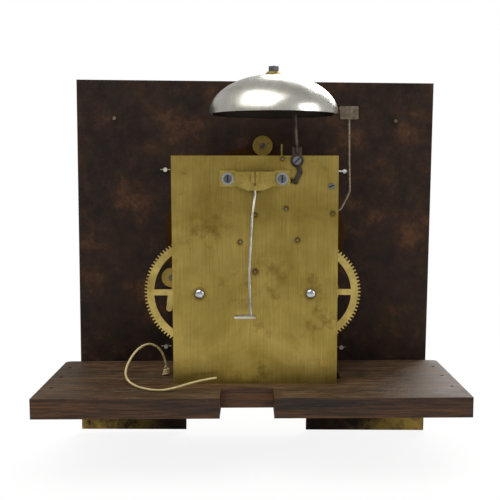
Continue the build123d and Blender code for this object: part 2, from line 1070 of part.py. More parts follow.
def make_crutch():
    """A wire that hangs behind the back plate and ends in a loop round the pendulum rod."""
    low_y = crutch_y + crutch_reach
    low_z = pallet_arbor_z - crutch_drop
    points = [
        (0, crutch_y, pallet_arbor_z - crutch_collet_r + 1),
        (0, crutch_y, pallet_arbor_z - crutch_collet_r * 2),
        (crutch_side / 2, crutch_y + crutch_reach / 3, pallet_arbor_z - crutch_drop / 4),
        (crutch_side, low_y - crutch_reach / 4, pallet_arbor_z - crutch_drop * 0.66),
        (crutch_side - 1, low_y, low_z + 1),
    ]
    wire = pipe_between(points, crutch_r, crutch_collet_r)
    hub = facing_rear(pallets, crutch_y - crutch_collet / 2) * rod(crutch_collet_r, crutch_collet)
    loop = Rectangle(fork_length, fork_depth) - Rectangle(
        fork_length - 2 * fork_bar, fork_depth - 2 * fork_bar
    )
    shift = fork_length / 4
    middle_y = low_y + fork_depth / 2 - fork_bar / 2
    fork = Pos(crutch_side - 1 + shift, middle_y, low_z) * extrude(loop, fork_thick)
    bore = facing_rear(pallets, crutch_y - crutch_collet) * rod(arbor_r, 2 * crutch_collet)
    return wire + hub + fork - bore


keep("crutch", make_crutch())


# Back cock with its suspension stud, screws and washers
def make_back_cock():
    """Two feet, two short legs and a standing wall that carries the pallet arbor."""
    top = cock_top
    foot = Rectangle(cock_foot_width, cock_foot, align=(Align.CENTER, Align.MAX))
    foot_x = cock_width / 2 - cock_foot_width / 2
    feet = Pos(foot_x, top) * foot + Pos(-foot_x, top) * foot
    for x in (-cock_screw_spread, cock_screw_spread):
        feet -= Pos(x, cock_screw_z) * Circle(cock_screw_r + pivot_fit)
    half = cock_bridge / 2
    wall = [
        (-half, top - 1),
        (half, top - 1),
        (half, top - cock_foot + 1),
        (stud_width, top - cock_low),
        (-stud_width, top - cock_low),
        (-half, top - cock_foot + 1),
    ]
    face = make_face(Polyline(*wall, close=True)) - Pos(*pallets) * Circle(pivot_r + pivot_fit)
    flat = Rot(Y=180) * Pos(0, 0, -cock_foot_thick) * extrude(feet, cock_foot_thick)
    body = facing_rear((0, 0), rear_face) * flat
    leg = Box(cock_wall, cock_stand, cock_foot - 2, align=(Align.CENTER, Align.MIN, Align.MAX))
    for side in (-1, 1):
        body += Pos(side * (half - cock_wall / 2), rear_face, top - 1) * leg
    body += facing_front((0, 0), rear_face + cock_stand) * extrude(face, cock_wall)
    return body


def make_suspension_stud():
    """A slit brass stud on the cock, which pinches the pendulum's spring."""
    place = Pos(0, rear_face + cock_stand, cock_top - 1)
    block = Box(stud_width, stud_out, stud_height, align=(Align.CENTER, Align.MIN, Align.MAX))
    slit = Box(stud_slit, stud_out, stud_height, align=(Align.CENTER, Align.MIN, Align.MAX))
    return place * (block - Pos(0, cock_wall, 0) * slit)


def make_cock_screw(x):
    seat = rear_face + cock_foot_thick + cock_washer
    screw = slotted(cock_head_r, cock_head, cock_screw_r, seat - inside - 1, 90)
    return facing_rear((x, cock_screw_z), seat) * screw


def make_cock_washer(x):
    seat = rear_face + cock_foot_thick
    return facing_rear((x, cock_screw_z), seat) * ring(cock_washer_r, cock_screw_r, cock_washer)


keep("back_cock", make_back_cock())
keep("suspension_stud", make_suspension_stud())
keep("cock_washers", make_cock_washer(-cock_screw_spread), make_cock_washer(cock_screw_spread))


# Bell stand, bell and its fixing
def bell_inner_height(radius):
    inner_r = bell_r - bell_wall
    inner_rise = bell_rise - bell_wall
    return bell_rim_z + inner_rise * math.sqrt(1 - (radius / inner_r) ** 2)


def make_bell():
    """A low spun bell: half an ellipse turned about its crown."""
    outer = EllipticalCenterArc((0, 0), bell_r, bell_rise, arc_size=90)
    inner = EllipticalCenterArc((0, 0), bell_r - bell_wall, bell_rise - bell_wall, arc_size=90)
    rim = Line(inner @ 0, outer @ 0)
    crown = Line(outer @ 1, inner @ 1)
    face = make_face([outer, crown, inner, rim])
    shell = revolve(Plane.XZ * face, Axis.Z)
    shell -= rod(bell_hole_r, bell_rise + 1)
    return Pos(bell_x, 0, bell_rim_z) * shell


stand_top_z = bell_rim_z + bell_rise - bell_wall


def make_bell_stand():
    """A forged steel arm screwed behind the back plate, tapering up under the bell's crown."""
    pad = Circle(stand_pad_r)
    tail_bow = (stand_tail_bow, -stand_tail_drop * 0.55)
    tail_end = (-stand_tail_turn, -stand_tail_drop)
    tail = bar((0, 0), tail_bow, stand_tail_r * 1.7)
    tail += bar(tail_bow, tail_end, stand_tail_r * 1.7)
    tail += Pos(*tail_end) * Circle(stand_tail_r)
    neck = Pos(0, stand_pad_r) * Rectangle(2 * stand_low_r, 2 * stand_pad_r)
    foot_face = pad + tail + neck
    foot_face -= Circle(cock_screw_r + pivot_fit)
    foot = extrude(foot_face, stand_foot)
    body = facing_rear((stand_x, stand_screw_z), rear_face) * foot
    low = (stand_x, rear_face + stand_foot / 2, stand_screw_z + stand_pad_r)
    crook = (stand_x + stand_crook_shift, rear_face - stand_foot, bell_rim_z + bell_rise / 8)
    bow = (stand_x + stand_bow_shift, inside * 0.62, stand_top_z - stand_bow_drop)
    top = (bell_x, 0, stand_top_z - stand_top_r)
    rise = Vector(*crook) - Vector(*low)
    lower = Plane(origin=low, z_dir=rise) * Ellipse(stand_low_r, stand_foot / 2)
    joint = Plane(origin=crook, z_dir=rise) * Circle(stand_top_r)
    body += loft([lower, joint])
    body += Pos(*crook) * Sphere(stand_top_r)
    body += pipe_between([crook, bow, top], stand_top_r, stand_bend)
    seat_top = bell_inner_height(stand_seat_r) - pivot_fit
    seat = Pos(bell_x, 0, seat_top - 2 * stand_top_r) * rod(stand_seat_r, 2 * stand_top_r)
    body += seat
    spigot = bell_wall + bell_washer + bell_nut
    body += Pos(bell_x, 0, stand_top_z - root) * rod(stand_spigot_r, spigot + root)
    return body


def make_stand_screw():
    seat = rear_face + stand_foot
    screw = slotted(cock_head_r, cock_head, cock_screw_r, seat - inside - 1, 45)
    return facing_rear((stand_x, stand_screw_z), seat) * screw


def make_bell_washer():
    seat = bell_rim_z + bell_rise
    body = ring(bell_washer_r, bell_hole_r, bell_washer)
    top_edge = body.faces().sort_by(Axis.Z)[-1].outer_wire().edges()
    return Pos(bell_x, 0, seat) * chamfer(top_edge, bell_washer * 0.7)


def make_bell_nut():
    seat = bell_rim_z + bell_rise + bell_washer
    nut = extrude(RegularPolygon(bell_nut_r, 4), bell_nut)
    return Pos(bell_x, 0, seat) * (nut - rod(stand_spigot_r, bell_nut))


keep("bell", make_bell())
keep("bell_stand", make_bell_stand())
keep("bell_washer", make_bell_washer())
keep("bell_nut", make_bell_nut())


# Hammer, its spring and its stop
def make_hammer_arbor():
    sections = [(pivot_r, plate_thick), (hammer_arbor_r, plate_gap - 1), (pivot_r, plate_thick)]
    shaft = seen_from_front(hammer, -plate_thick + 1 / 2) * turned(sections)
    tail_seat = pin_seat - hammer_pin_length + 1
    reach = math.hypot(hammer[0] - pin_arbor[0], hammer[1] - pin_arbor[1])
    end = reach - pin_circle_r - hammer_pin_r - tail_clear - hammer_tail_width / 2
    tail = bar((0, 0), along(bearing(hammer, pin_arbor), end), hammer_tail_width)
    tail += Circle(hammer_collet_r)
    return shaft + seen_from_front(hammer, tail_seat) * extrude(tail, hammer_tail_thick)


def make_hammer():
    """Collet, bent stem and the head beside the bell's rim."""
    seat = inside - hammer_y - hammer_collet / 2
    hub = seen_from_front(hammer, seat) * (
        rod(hammer_collet_r, hammer_collet) - rod(hammer_arbor_r, hammer_collet)
    )
    head_z = bell_rim_z + hammer_head_rise
    start = along(10, root - hammer_collet_r, hammer)
    points = [
        (start[0], hammer_y, start[1]),
        (hammer_x - hammer_elbow_x, hammer_y, hammer_z + hammer_elbow_z),
        (hammer_head_x - hammer_bow, hammer_y, hammer_z + hammer_bow_low_z),
        (hammer_head_x - hammer_bow_high, hammer_y, hammer_z + hammer_bow_high_z),
        (hammer_head_x, hammer_y, head_z - hammer_head_height / 2 + root),
    ]
    stem = pipe_between(points, hammer_stem_r, hammer_bend)
    head = Box(hammer_head_length, hammer_head_depth, hammer_head_height)
    head = fillet(head.edges().filter_by(Axis.Y), hammer_head_edge)
    head_place = bell_x - bell_r - hammer_gap - hammer_head_length / 2
    return hub + stem + Pos(head_place, hammer_y, head_z) * head


def make_hammer_spring():
    """A blade under a screw inside the back plate, pressing beside the hammer's collet."""
    foot = Rectangle(spring_width, spring_width * 1.6)
    screw_hole = Circle(cock_screw_r + pivot_fit)
    place = seen_from_front((spring_screw_x, spring_screw_z), 0)
    blade_foot = place * extrude(foot - screw_hole, spring_thick * 2)
    reach = spring_screw_z - hammer_z - hammer_collet_r - spring_air
    blade = Box(spring_thick, spring_width * 2, reach, align=(Align.CENTER, Align.MAX, Align.MAX))
    place = Pos(spring_screw_x, inside, spring_screw_z - spring_width * 0.7)
    return blade_foot + place * blade


def make_spring_screw():
    seat = rear_face
    shank = plate_thick + spring_thick * 2
    screw = slotted(cock_head_r * 0.75, cock_head / 2, cock_screw_r, shank, 20)
    return facing_rear((spring_screw_x, spring_screw_z), seat) * screw


keep("hammer_arbor", make_hammer_arbor())
keep("hammer", make_hammer())
keep("hammer_stop", stop_wire())
keep("hammer_spring", make_hammer_spring())
keep(
    "back_plate_screws",
    make_cock_screw(-cock_screw_spread),
    make_cock_screw(cock_screw_spread),
    make_stand_screw(),
    make_spring_screw(),
)


# Dial: everything on it shares its small lean about the dial's centre
def on_dial(shape):
    return Pos(0, 0, centre_z) * Rot(Y=dial_lean) * Pos(0, 0, -centre_z) * shape


def keeper_places():
    reach = date_ring_r + keeper_post_r + keeper_gap
    turns = [keeper_first + index * 360 / keeper_count for index in range(keeper_count)]
    return [along(turn, reach, (0, date_ring_z)) for turn in turns]


def make_dial_plate():
    outline = Pos(0, centre_z) * Rectangle(dial_side, dial_side)
    low = centre_z - dial_side / 2
    cut = RectangleRounded(dial_cut_width, 2 * dial_cut_height, dial_cut_corner)
    outline -= Pos(dial_cut_x, low) * cut
    for place in (going, strike):
        outline -= Pos(*place) * Circle(winding_hole_r)
    outline -= Pos(*centre) * Circle(centre_hole_r)
    outline -= Pos(*escape) * Circle(seconds_hole_r)
    outline -= Pos(0, date_hole_z()) * Rectangle(date_hole_width, date_hole_height)
    for spot in ring_foot_places():
        outline -= Pos(*spot) * Circle(ring_foot_r)
    for spot in spandrel_places():
        outline -= Pos(*spot[0]) * Circle(spandrel_screw_r)
    plate = facing_front((0, 0), dial_rear_y) * extrude(outline, dial_thick)
    for spot in keeper_places():
        plate -= facing_front(spot, dial_rear_y) * rod(keeper_screw_r, dial_thick / 2)
    return on_dial(plate)


def date_hole_z():
    return date_ring_z - date_ring_r + date_ring_width / 2


def ring_foot_places():
    return [along(45 + 90 * index, ring_foot_circle, centre) for index in range(4)]


def spandrel_size():
    """The side of a corner casting whose scrolls end at the gap outside the chapter ring."""
    corner = dial_side / 2 - spandrel_inset
    reach = ring_outer_r + spandrel_gap
    low = 1 - scroll_far
    high = 1 - scroll_near
    square = low**2 + high**2 - scroll_share**2
    run = corner * (low + high) + reach * scroll_share
    rest = 2 * corner**2 - reach**2
    return (run - math.sqrt(run**2 - square * rest)) / square


def spandrel_places():
    """Each corner's screw place, and the quarter turn that its casting takes."""
    inset = dial_side / 2 - spandrel_inset - spandrel_size() * 0.30
    spots = []
    for index, (sx, sz) in enumerate(((1, 1), (-1, 1), (-1, -1), (1, -1))):
        spots.append(((sx * inset, centre_z + sz * inset), index * 90))
    return spots


def make_chapter_ring():
    face = facing_front(centre, dial_front_y) * ring(ring_outer_r, ring_inner_r, ring_thick)
    feet = []
    reach = dial_thick + ring_foot_out
    for spot in ring_foot_places():
        foot = facing_rear(spot, dial_front_y) * rod(ring_foot_r, reach)
        pin = Pos(spot[0], dial_rear_y + ring_pin_r, spot[1]) * Rot(Y=90)
        foot -= pin * Cylinder(ring_pin_r, 4 * ring_foot_r)
        feet.append(foot)
    body = face
    for foot in feet:
        body += foot
    return on_dial(body)


def make_ring_pins():
    pins = []
    for spot in ring_foot_places():
        place = Pos(spot[0], dial_rear_y + ring_pin_r, spot[1]) * Rot(Y=90)
        pins.append(on_dial(place * Cylinder(ring_pin_r, ring_pin_length)))
    return pins


def make_seconds_ring():
    body = ring(seconds_outer_r, seconds_inner_r, ring_thick / 2)
    return on_dial(facing_front(escape, dial_front_y) * body)


def make_spandrel(turn):
    """A cast corner of scrolls round a shell, with open work between."""
    side = spandrel_size()
    face = Pos(side * 0.70, side * 0.70) * Circle(side * 0.24)
    for first, second in ((scroll_far, scroll_near), (scroll_near, scroll_far)):
        scroll = Circle(side * scroll_share) - Circle(side * 0.065)
        face += Pos(side * first, side * second) * scroll
    for first, second in ((0.86, 0.08), (0.08, 0.86)):
        face += Pos(side * first, side * second) * Circle(side * 0.075)
    for first, second in (((0.80, 0.20), (0.86, 0.10)), ((0.20, 0.80), (0.10, 0.86))):
        face += bar([side * v for v in first], [side * v for v in second], side * 0.07)
    for first, second in (((0.74, 0.40), (0.72, 0.56)), ((0.40, 0.74), (0.56, 0.72))):
        face += bar([side * v for v in first], [side * v for v in second], side * 0.12)
    for angle in (20, 45, 70):
        spot = along(angle + 180, side * 0.155, (side * 0.70, side * 0.70))
        face -= Pos(*spot) * Circle(side * 0.03)
    corner = dial_side / 2 - spandrel_inset - side
    body = extrude(Pos(corner, corner) * face, spandrel_thick)
    hole = (dial_side / 2 - spandrel_inset - side * 0.30,) * 2
    body -= Pos(*hole) * rod(spandrel_screw_r, spandrel_thick)
    return on_dial(facing_front(centre, dial_front_y) * Rot(Z=turn) * body)


def make_spandrel_screw(spot):
    shank = spandrel_thick + dial_thick + spandrel_screw_out
    screw = slotted(spandrel_screw_r * 1.7, spandrel_head, spandrel_screw_r, shank, 30)
    return on_dial(facing_front(spot, dial_front_y - spandrel_thick) * screw)


def make_dial_foot(point):
    reach = dial_back - plate_gap - 2 * plate_thick
    shank = reach - foot_shoulder + plate_thick + foot_inside
    sections = [(foot_shoulder_r, foot_shoulder), (foot_r, shank)]
    foot = facing_rear(point, dial_rear_y) * turned(sections)
    pin = Pos(point[0], -inside + foot_pin_r, point[1]) * Rot(Y=90)
    return foot - pin * Cylinder(foot_pin_r, 4 * foot_r)


def make_foot_pin(point):
    pin = Pos(point[0], -inside + foot_pin_r, point[1]) * Rot(Y=90)
    return pin * Cylinder(foot_pin_r, foot_pin_length)


keep("dial_plate", make_dial_plate())
keep("chapter_ring", make_chapter_ring())
keep("seconds_ring", make_seconds_ring())
keep("spandrels", *[make_spandrel(turn) for _, turn in spandrel_places()])
keep("dial_feet", *[make_dial_foot(point) for point in foot_places()])
keep(
    "taper_pins",
    *[make_pillar_pin(point) for point in pillar_places()],
    *[make_foot_pin(point) for point in foot_places()],
    *make_ring_pins(),
)


# Date ring behind the dial, running between three headed posts
def make_date_ring():
    inner = date_ring_r - date_ring_width
    step = 360 / date_teeth
    points = []
    for index in range(date_teeth):
        points.append(along(index * step, inner))
        points.append(along((index + 1) * step - 1, inner + date_tooth))
    hole = make_face(Polyline(*points, close=True))
    face = Circle(date_ring_r) - hole
    place = facing_rear((0, date_ring_z), dial_rear_y + date_ring_gap)
    return on_dial(place * extrude(face, date_ring_thick))


def make_keeper(spot):
    """A brass washer on a short post, whose rim overlaps the ring's outer edge."""
    height = 2 * date_ring_gap + date_ring_thick
    body = turned([(keeper_post_r, height), (keeper_r, keeper_thick)])
    body -= rod(keeper_screw_r, height + keeper_thick)
    return on_dial(facing_rear(spot, dial_rear_y) * body)


def make_keeper_screw(spot):
    seat = dial_rear_y + 2 * date_ring_gap + date_ring_thick + keeper_thick
    shank = seat - dial_front_y - dial_thick / 2
    body = slotted(keeper_head_r, keeper_thick, keeper_screw_r, shank, 60)
    return on_dial(facing_rear(spot, seat) * body)


keep("date_ring", make_date_ring())
keep("date_ring_keepers", *[make_keeper(spot) for spot in keeper_places()])
keep(
    "dial_screws",
    *[make_spandrel_screw(spot) for spot, _ in spandrel_places()],
    *[make_keeper_screw(spot) for spot in keeper_places()],
)


# Motion work: cannon pinion, minute wheel, hour wheel with its snail, and the bridge
hour_first = 90.0
lever_y = front_face - front_air
minute_y = front_face - minute_seat
hour_y = front_face - hour_seat
cannon_bore = centre_front_r
cannon_r = cannon_bore + pipe_wall
bridge_pipe_bore = cannon_r + bridge_pipe_air
bridge_pipe_r = bridge_pipe_bore + pipe_wall
hour_bore = bridge_pipe_r + hour_pipe_air
hour_pipe_r = hour_bore + pipe_wall
bridge_y = minute_y - wheel_thick - bridge_air


def make_cannon_pinion():
    wheel = extrude(toothed(minute_teeth, minute_module, 0.0), wheel_thick)
    length = minute_y - minute_hand_y
    body = wheel + rod(cannon_r, length)
    return facing_front(centre, minute_y) * (body - rod(cannon_bore, length))


def make_minute_wheel():
    """The minute wheel, its pinion, and the pin that raises the lifting piece each hour."""
    first = gear_phase(bearing(centre, minute_stud), minute_teeth, 0.0, minute_teeth)
    wheel = extrude(toothed(minute_teeth, minute_module, first), wheel_thick)
    seat = minute_y - hour_y
    leaf = toothed(hour_leaves, hour_module, hour_first, 0.33, 0.7, minute_root)
    small = extrude(leaf, seat + wheel_thick)
    body = wheel + small - rod(minute_stud_r + pivot_fit, seat + 2 * wheel_thick)
    body = facing_front(minute_stud, minute_y) * body
    spot = along(-60, lift_pin_circle, minute_stud)
    return body + facing_rear(spot, minute_y) * rod(lift_pin_r, minute_seat - front_air)


def make_hour_wheel():
    first = gear_phase(bearing(minute_stud, centre), hour_leaves, hour_first, hour_teeth)
    blank = toothed(hour_teeth, hour_module, first)
    wheel = extrude(blank - Circle(hour_bore), wheel_thick)
    length = hour_y - hour_hand_y + hand_thick
    body = wheel + rod(hour_pipe_r, length) - rod(hour_bore, length)
    return facing_front(centre, hour_y) * body


def snail_face():
    """Twelve steps, the lowest towards the rack's tail at rest."""
    toward = bearing(centre, rack_tail_end())
    step = 30
    points = []
    for hour in range(12):
        radius = snail_high_r - (snail_high_r - snail_low_r) * hour / 11
        start = toward + (hour + 1) * step - snail_lead
        points.append(along(start, radius))
        points.append(along(start + step, radius))
    return make_face(Polyline(*points, close=True))


def rack_tail_end():
    """Where the tail's pin stands when the rack is gathered."""
    reach = snail_high_r + rack_pin_r + snail_air
    return meet((rack_x, rack_z), rack_tail, centre, reach, -1)


def make_snail():
    body = extrude(snail_face() - Circle(hour_pipe_r), snail_thick)
    return facing_front(centre, hour_y - wheel_thick) * body


def make_hour_bridge():
    """A cock on two screws, whose pipe carries the hour wheel clear of the cannon."""
    height = front_face - bridge_y
    first = along(bridge_angle - bridge_spread, bridge_reach)
    second = along(bridge_angle + bridge_spread, bridge_reach)
    middle = along(bridge_angle, bridge_reach - bridge_ring_r / 4)
    ring_face = Circle(bridge_ring_r) + bar((0, 0), middle, bridge_ring_r * 1.3)
    ring_face += bar(first, second, bridge_ring_r)
    wall = extrude(ring_face - Circle(bridge_pipe_bore), bridge_wall)
    body = facing_front(centre, bridge_y) * wall
    for foot in bridge_feet():
        leg = rod(bridge_ring_r / 2, height) - rod(cock_screw_r, height)
        body += facing_front(foot, front_face) * leg
        body -= facing_front(foot, bridge_y) * rod(cock_screw_r, bridge_wall)
    pipe_length = bridge_y - hour_hand_y
    pipe = rod(bridge_pipe_r, pipe_length) - rod(bridge_pipe_bore, pipe_length)
    return body + facing_front(centre, bridge_y) * pipe


def make_bridge_screw(foot):
    seat = bridge_y - bridge_wall
    length = -inside - seat - 1 / 2
    screw = slotted(cock_head_r, bridge_head, cock_screw_r, length, 15)
    return facing_front(foot, seat) * screw


keep("cannon_pinion", make_cannon_pinion())
keep("minute_wheel", make_minute_wheel())
keep("hour_wheel", make_hour_wheel())
keep("snail", make_snail())
keep("hour_bridge", make_hour_bridge())
keep("bridge_screws", *[make_bridge_screw(foot) for foot in bridge_feet()])


# Rack, rack hook and lifting piece, with the studs they turn on
def make_rack():
    reach = math.hypot(gather[0] - rack_x, gather[1] - rack_z)
    tooth_r = reach - gather_finger - rack_air
    at_rest = bearing((rack_x, rack_z), gather)
    points = []
    for index in range(rack_teeth):
        tip = at_rest + rack_lead - index * rack_step
        points.append(along(tip, tooth_r))
        points.append(along(tip - rack_step + rack_undercut, tooth_r - rack_depth))
    last = at_rest + rack_lead - rack_teeth * rack_step
    rim_r = tooth_r - rack_depth - rack_rim
    points.append(along(last, tooth_r - rack_depth))
    points.append(along(last, rim_r))
    points.append(along((last + at_rest) / 2, rim_r))
    points.append(along(at_rest + rack_lead, rim_r))
    face = make_face(Polyline(*points, close=True))
    middle = (last + at_rest) / 2
    face += bar((0, 0), along(middle, rim_r + rack_rim / 2), rack_arm)
    face += Circle(rack_hub_r)
    end = rack_tail_end()
    local_end = (end[0] - rack_x, end[1] - rack_z)
    face -= Circle(stud_pin_r + pivot_fit)
    body = extrude(face, lever_thick)
    snail_seat = lever_y - hour_y + wheel_thick
    tail_seat = snail_seat + snail_thick + tail_air
    height = tail_seat + tail_thick
    hub = rod(rack_hub_r, height) - rod(stud_pin_r + pivot_fit, height)
    tail = bar((0, 0), local_end, rack_tail_width) - Circle(stud_pin_r + pivot_fit)
    body += hub + Pos(0, 0, tail_seat) * extrude(tail, tail_thick)
    body += Pos(local_end[0], local_end[1], snail_seat) * rod(rack_pin_r, snail_thick + tail_air)
    return facing_front((rack_x, rack_z), lever_y) * body


hook_rise = hook_arm / 4


def make_rack_hook():
    reach = math.hypot(gather[0] - rack_x, gather[1] - rack_z) - gather_finger
    dx = hook_nose_x - rack_x
    nose_z = rack_z + math.sqrt(reach**2 - dx**2)
    nose = (hook_nose_x - hook_x, nose_z - hook_z)
    elbow = (nose[0], hook_rise)
    face = bar((0, 0), elbow, hook_arm) + Circle(rack_hub_r)
    beak = [
        (nose[0] - hook_arm / 2, elbow[1]),
        (nose[0] + hook_arm / 2, elbow[1]),
        (nose[0] + hook_nose, nose[1]),
        (nose[0] - hook_nose, nose[1]),
    ]
    face += make_face(Polyline(*beak, close=True))
    body = extrude(face - Circle(stud_pin_r + pivot_fit), lever_thick)
    return facing_front((hook_x, hook_z), lever_y) * body


def lift_end():
    """Where the lifting arm ends, just under the rack hook's arm."""
    share = (lift_reach_x - hook_x) / (hook_nose_x - hook_x)
    hook_under = hook_z + share * hook_rise - hook_arm / 2
    return (lift_reach_x - lift_x, hook_under - lift_gap - lift_arm * lift_end_share / 2 - lift_z)


def make_lifting_piece():
    pin_edge = lift_pin_circle + lift_pin_r + lift_arm / 2 + lift_pin_air
    down = along(bearing(minute_stud, (lift_x, lift_z)), pin_edge, minute_stud)
    down = (down[0] - lift_x, down[1] - lift_z)
    up_end = lift_end()
    up_knee = (up_end[0] * lift_knee_x, up_end[1] * lift_knee_z)
    face = bar((0, 0), down, lift_arm) + bar((0, 0), up_knee, lift_arm)
    face += bar(up_knee, up_end, lift_arm * lift_end_share) + Circle(rack_hub_r)
    body = extrude(face - Circle(stud_pin_r + pivot_fit), lever_thick)
    return facing_front((lift_x, lift_z), lever_y) * body


def make_stud(point, reach):
    sections = [
        (stud_pin_r, plate_thick + reach),
        (stud_head_r, stud_head),
    ]
    return facing_front(point, -inside) * turned(sections)


def make_minute_stud():
    """A shouldered post, thinner where it runs through the minute wheel's pinion."""
    shoulder = minute_seat - stud_air
    sections = [
        (stud_pin_r, plate_thick + shoulder),
        (minute_stud_r, hour_seat - shoulder + wheel_thick + stud_air),
        (minute_stud_r * 1.8, stud_head),
    ]
    return facing_front(minute_stud, -inside) * turned(sections)


def make_studs():
    lever_reach = front_air + lever_thick + stud_air
    rack_reach = hour_seat + wheel_thick + snail_thick + tail_air + tail_thick + stud_air
    return [
        make_stud((rack_x, rack_z), rack_reach),
        make_stud((hook_x, hook_z), lever_reach),
        make_stud((lift_x, lift_z), lever_reach),
        make_minute_stud(),
    ]


keep("rack", make_rack())
keep("rack_hook", make_rack_hook())
keep("lifting_piece", make_lifting_piece())
keep("front_studs", *make_studs())


# Hands
def make_minute_hand():
    """A long pierced hand with a round boss, pointing at twelve."""
    face = Circle(hand_boss_r) + bar((0, 0), (0, minute_hand - 3), minute_hand_width)
    loop = Circle(minute_loop_r) - Circle(minute_loop_r - minute_loop_wire)
    face += Pos(0, minute_hand * 0.24) * loop
    tip = [
        (-minute_blade, minute_hand * 0.45),
        (minute_blade, minute_hand * 0.45),
        (minute_point, minute_hand),
        (-minute_point, minute_hand),
    ]
    face += make_face(Polyline(*tip, close=True))
    body = extrude(face - Circle(centre_front_r), hand_thick)
    return facing_front(centre, minute_hand_y) * body


def make_hour_hand():
    """The hour hand, with a pierced loop and a leaf at its end."""
    face = Circle(hour_boss_r) + bar((0, 0), (0, hour_hand - 6), hour_hand_width)
    loop = Circle(hour_loop_r) - Circle(hour_loop_r - hour_loop_wire)
    face += Pos(0, hour_hand * 0.36) * loop
    leaf = [
        (-hour_leaf, hour_hand * 0.72),
        (0, hour_hand * 0.60),
        (hour_leaf, hour_hand * 0.72),
        (0, hour_hand),
    ]
    face += make_face(Polyline(*leaf, close=True))
    body = extrude(face - Circle(hour_pipe_r), hand_thick)
    return facing_front(centre, hour_hand_y) * body


def make_seconds_hand():
    face = Circle(seconds_boss_r) + bar((0, -seconds_tail), (0, seconds_hand - 1), seconds_width)
    body = extrude(face - Circle(pivot_r), hand_thick * 0.7)
    return facing_front(escape, dial_front_y - ring_thick - seconds_hand_air) * body


keep("minute_hand", make_minute_hand())
keep("hour_hand", make_hour_hand())
keep("seconds_hand", make_seconds_hand())


# Gut line: its knot on the board, and the free end that springs up and lies over the edge
def line_radii():
    radii = []
    spots = [Vector(*p) for p in line_points]
    for before, here, after in zip(spots, spots[1:], spots[2:]):
        first = here - before
        second = after - here
        turn = math.radians(first.get_angle(second))
        run = min(first.length, second.length)
        radii.append(0.45 * run / math.tan(turn / 2))
    return radii


def make_gut_line():
    radii = line_radii()
    print("gut line radii", [round(r, 1) for r in radii])
    path = FilletPolyline(*line_points, radius=radii)
    start = path.edges()[0]
    section = Plane(origin=start @ 0, z_dir=start % 0) * Circle(line_r)
    tube = sweep(section, path)
    print("gut line length", round(path.length, 1), "tube", round(tube.volume, 1))
    print("section times length", round(math.pi * line_r**2 * path.length, 1))
    return tube


def make_knot():
    """A simple stopper knot over its hole, with the line leaving its top."""
    neck_length = knot_height - knot_foot - knot_belly
    sections = [(knot_r * 0.8, knot_foot), (knot_r, knot_belly), (knot_r * 0.7, neck_length)]
    base = turned(sections)
    top = line_points[0]
    neck = Pos(0, 0, knot_height) * rod(line_r, top[2] - board_thick - knot_height - line_r / 3)
    return Pos(knot_x, knot_y, board_thick) * (base + neck)


keep("gut_line", make_gut_line())
keep("gut_knot", make_knot())

for name, shape in made.items():
    export_step(shape, f"parts/{name}.step")
print(len(made), "nodes")
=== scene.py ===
import json
import math

import bmesh
import bpy
from mathutils import Matrix, Vector


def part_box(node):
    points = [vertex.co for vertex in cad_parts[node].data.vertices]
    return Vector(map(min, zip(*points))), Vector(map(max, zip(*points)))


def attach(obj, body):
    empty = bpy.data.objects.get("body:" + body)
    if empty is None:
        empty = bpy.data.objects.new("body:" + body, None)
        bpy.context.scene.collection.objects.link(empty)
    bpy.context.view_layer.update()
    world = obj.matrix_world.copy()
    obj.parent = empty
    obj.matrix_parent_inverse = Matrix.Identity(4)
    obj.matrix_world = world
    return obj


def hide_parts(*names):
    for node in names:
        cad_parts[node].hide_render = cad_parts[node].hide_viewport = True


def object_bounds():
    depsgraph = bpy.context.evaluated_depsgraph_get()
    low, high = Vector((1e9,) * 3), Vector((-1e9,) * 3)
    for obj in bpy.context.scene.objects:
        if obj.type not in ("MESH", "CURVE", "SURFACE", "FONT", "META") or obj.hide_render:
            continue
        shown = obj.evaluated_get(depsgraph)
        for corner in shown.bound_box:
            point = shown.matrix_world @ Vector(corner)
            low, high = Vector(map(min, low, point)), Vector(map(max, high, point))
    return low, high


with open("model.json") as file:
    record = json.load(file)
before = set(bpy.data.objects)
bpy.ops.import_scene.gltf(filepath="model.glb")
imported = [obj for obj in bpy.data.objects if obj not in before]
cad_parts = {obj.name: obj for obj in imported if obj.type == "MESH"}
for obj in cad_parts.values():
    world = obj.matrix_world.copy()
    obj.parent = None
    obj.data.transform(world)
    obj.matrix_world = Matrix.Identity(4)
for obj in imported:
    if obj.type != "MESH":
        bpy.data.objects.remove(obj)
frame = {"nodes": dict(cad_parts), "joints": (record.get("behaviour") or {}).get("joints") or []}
nodes = frame["nodes"]
cad_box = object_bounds()
MM = 0.001

# Camera: behind the movement and a little above it, looking slightly down at the back plate.
# Its place, lens and shift come from fitting the dial, the plate and the seatboard's corners.
camera_place = Vector((3.7, 739.4, 174.0)) * MM
camera_forward = Vector((-0.0188, -0.992, -0.1243))
camera_lens_mm = 67.0
principal_px = (267.8, 293.0)
picture_px = 500

camera_data = bpy.data.cameras.new("camera")
camera_data.lens = camera_lens_mm
camera_data.sensor_width = 36.0
camera_data.shift_x = (picture_px / 2 - principal_px[0]) / picture_px
camera_data.shift_y = (principal_px[1] - picture_px / 2) / picture_px
camera = bpy.data.objects.new("camera", camera_data)
camera.location = camera_place
camera.rotation_euler = camera_forward.to_track_quat("-Z", "Y").to_euler()
bpy.context.scene.collection.objects.link(camera)
bpy.context.scene.camera = camera
bpy.context.scene.view_settings.view_transform = "Standard"


# Gut line: the free end of the going weight's line, a twisted gut cord with a dry yellow shine.
# It leaves its knot on the seatboard, springs up in one open bow and lies on the board.
def linear(hex_colour):
    """An sRGB hex value as linear red, green, blue and alpha."""
    channels = [int(hex_colour[i : i + 2], 16) / 255 for i in (1, 3, 5)]
    made = [c / 12.92 if c <= 0.04045 else ((c + 0.055) / 1.055) ** 2.4 for c in channels]
    return (*made, 1.0)


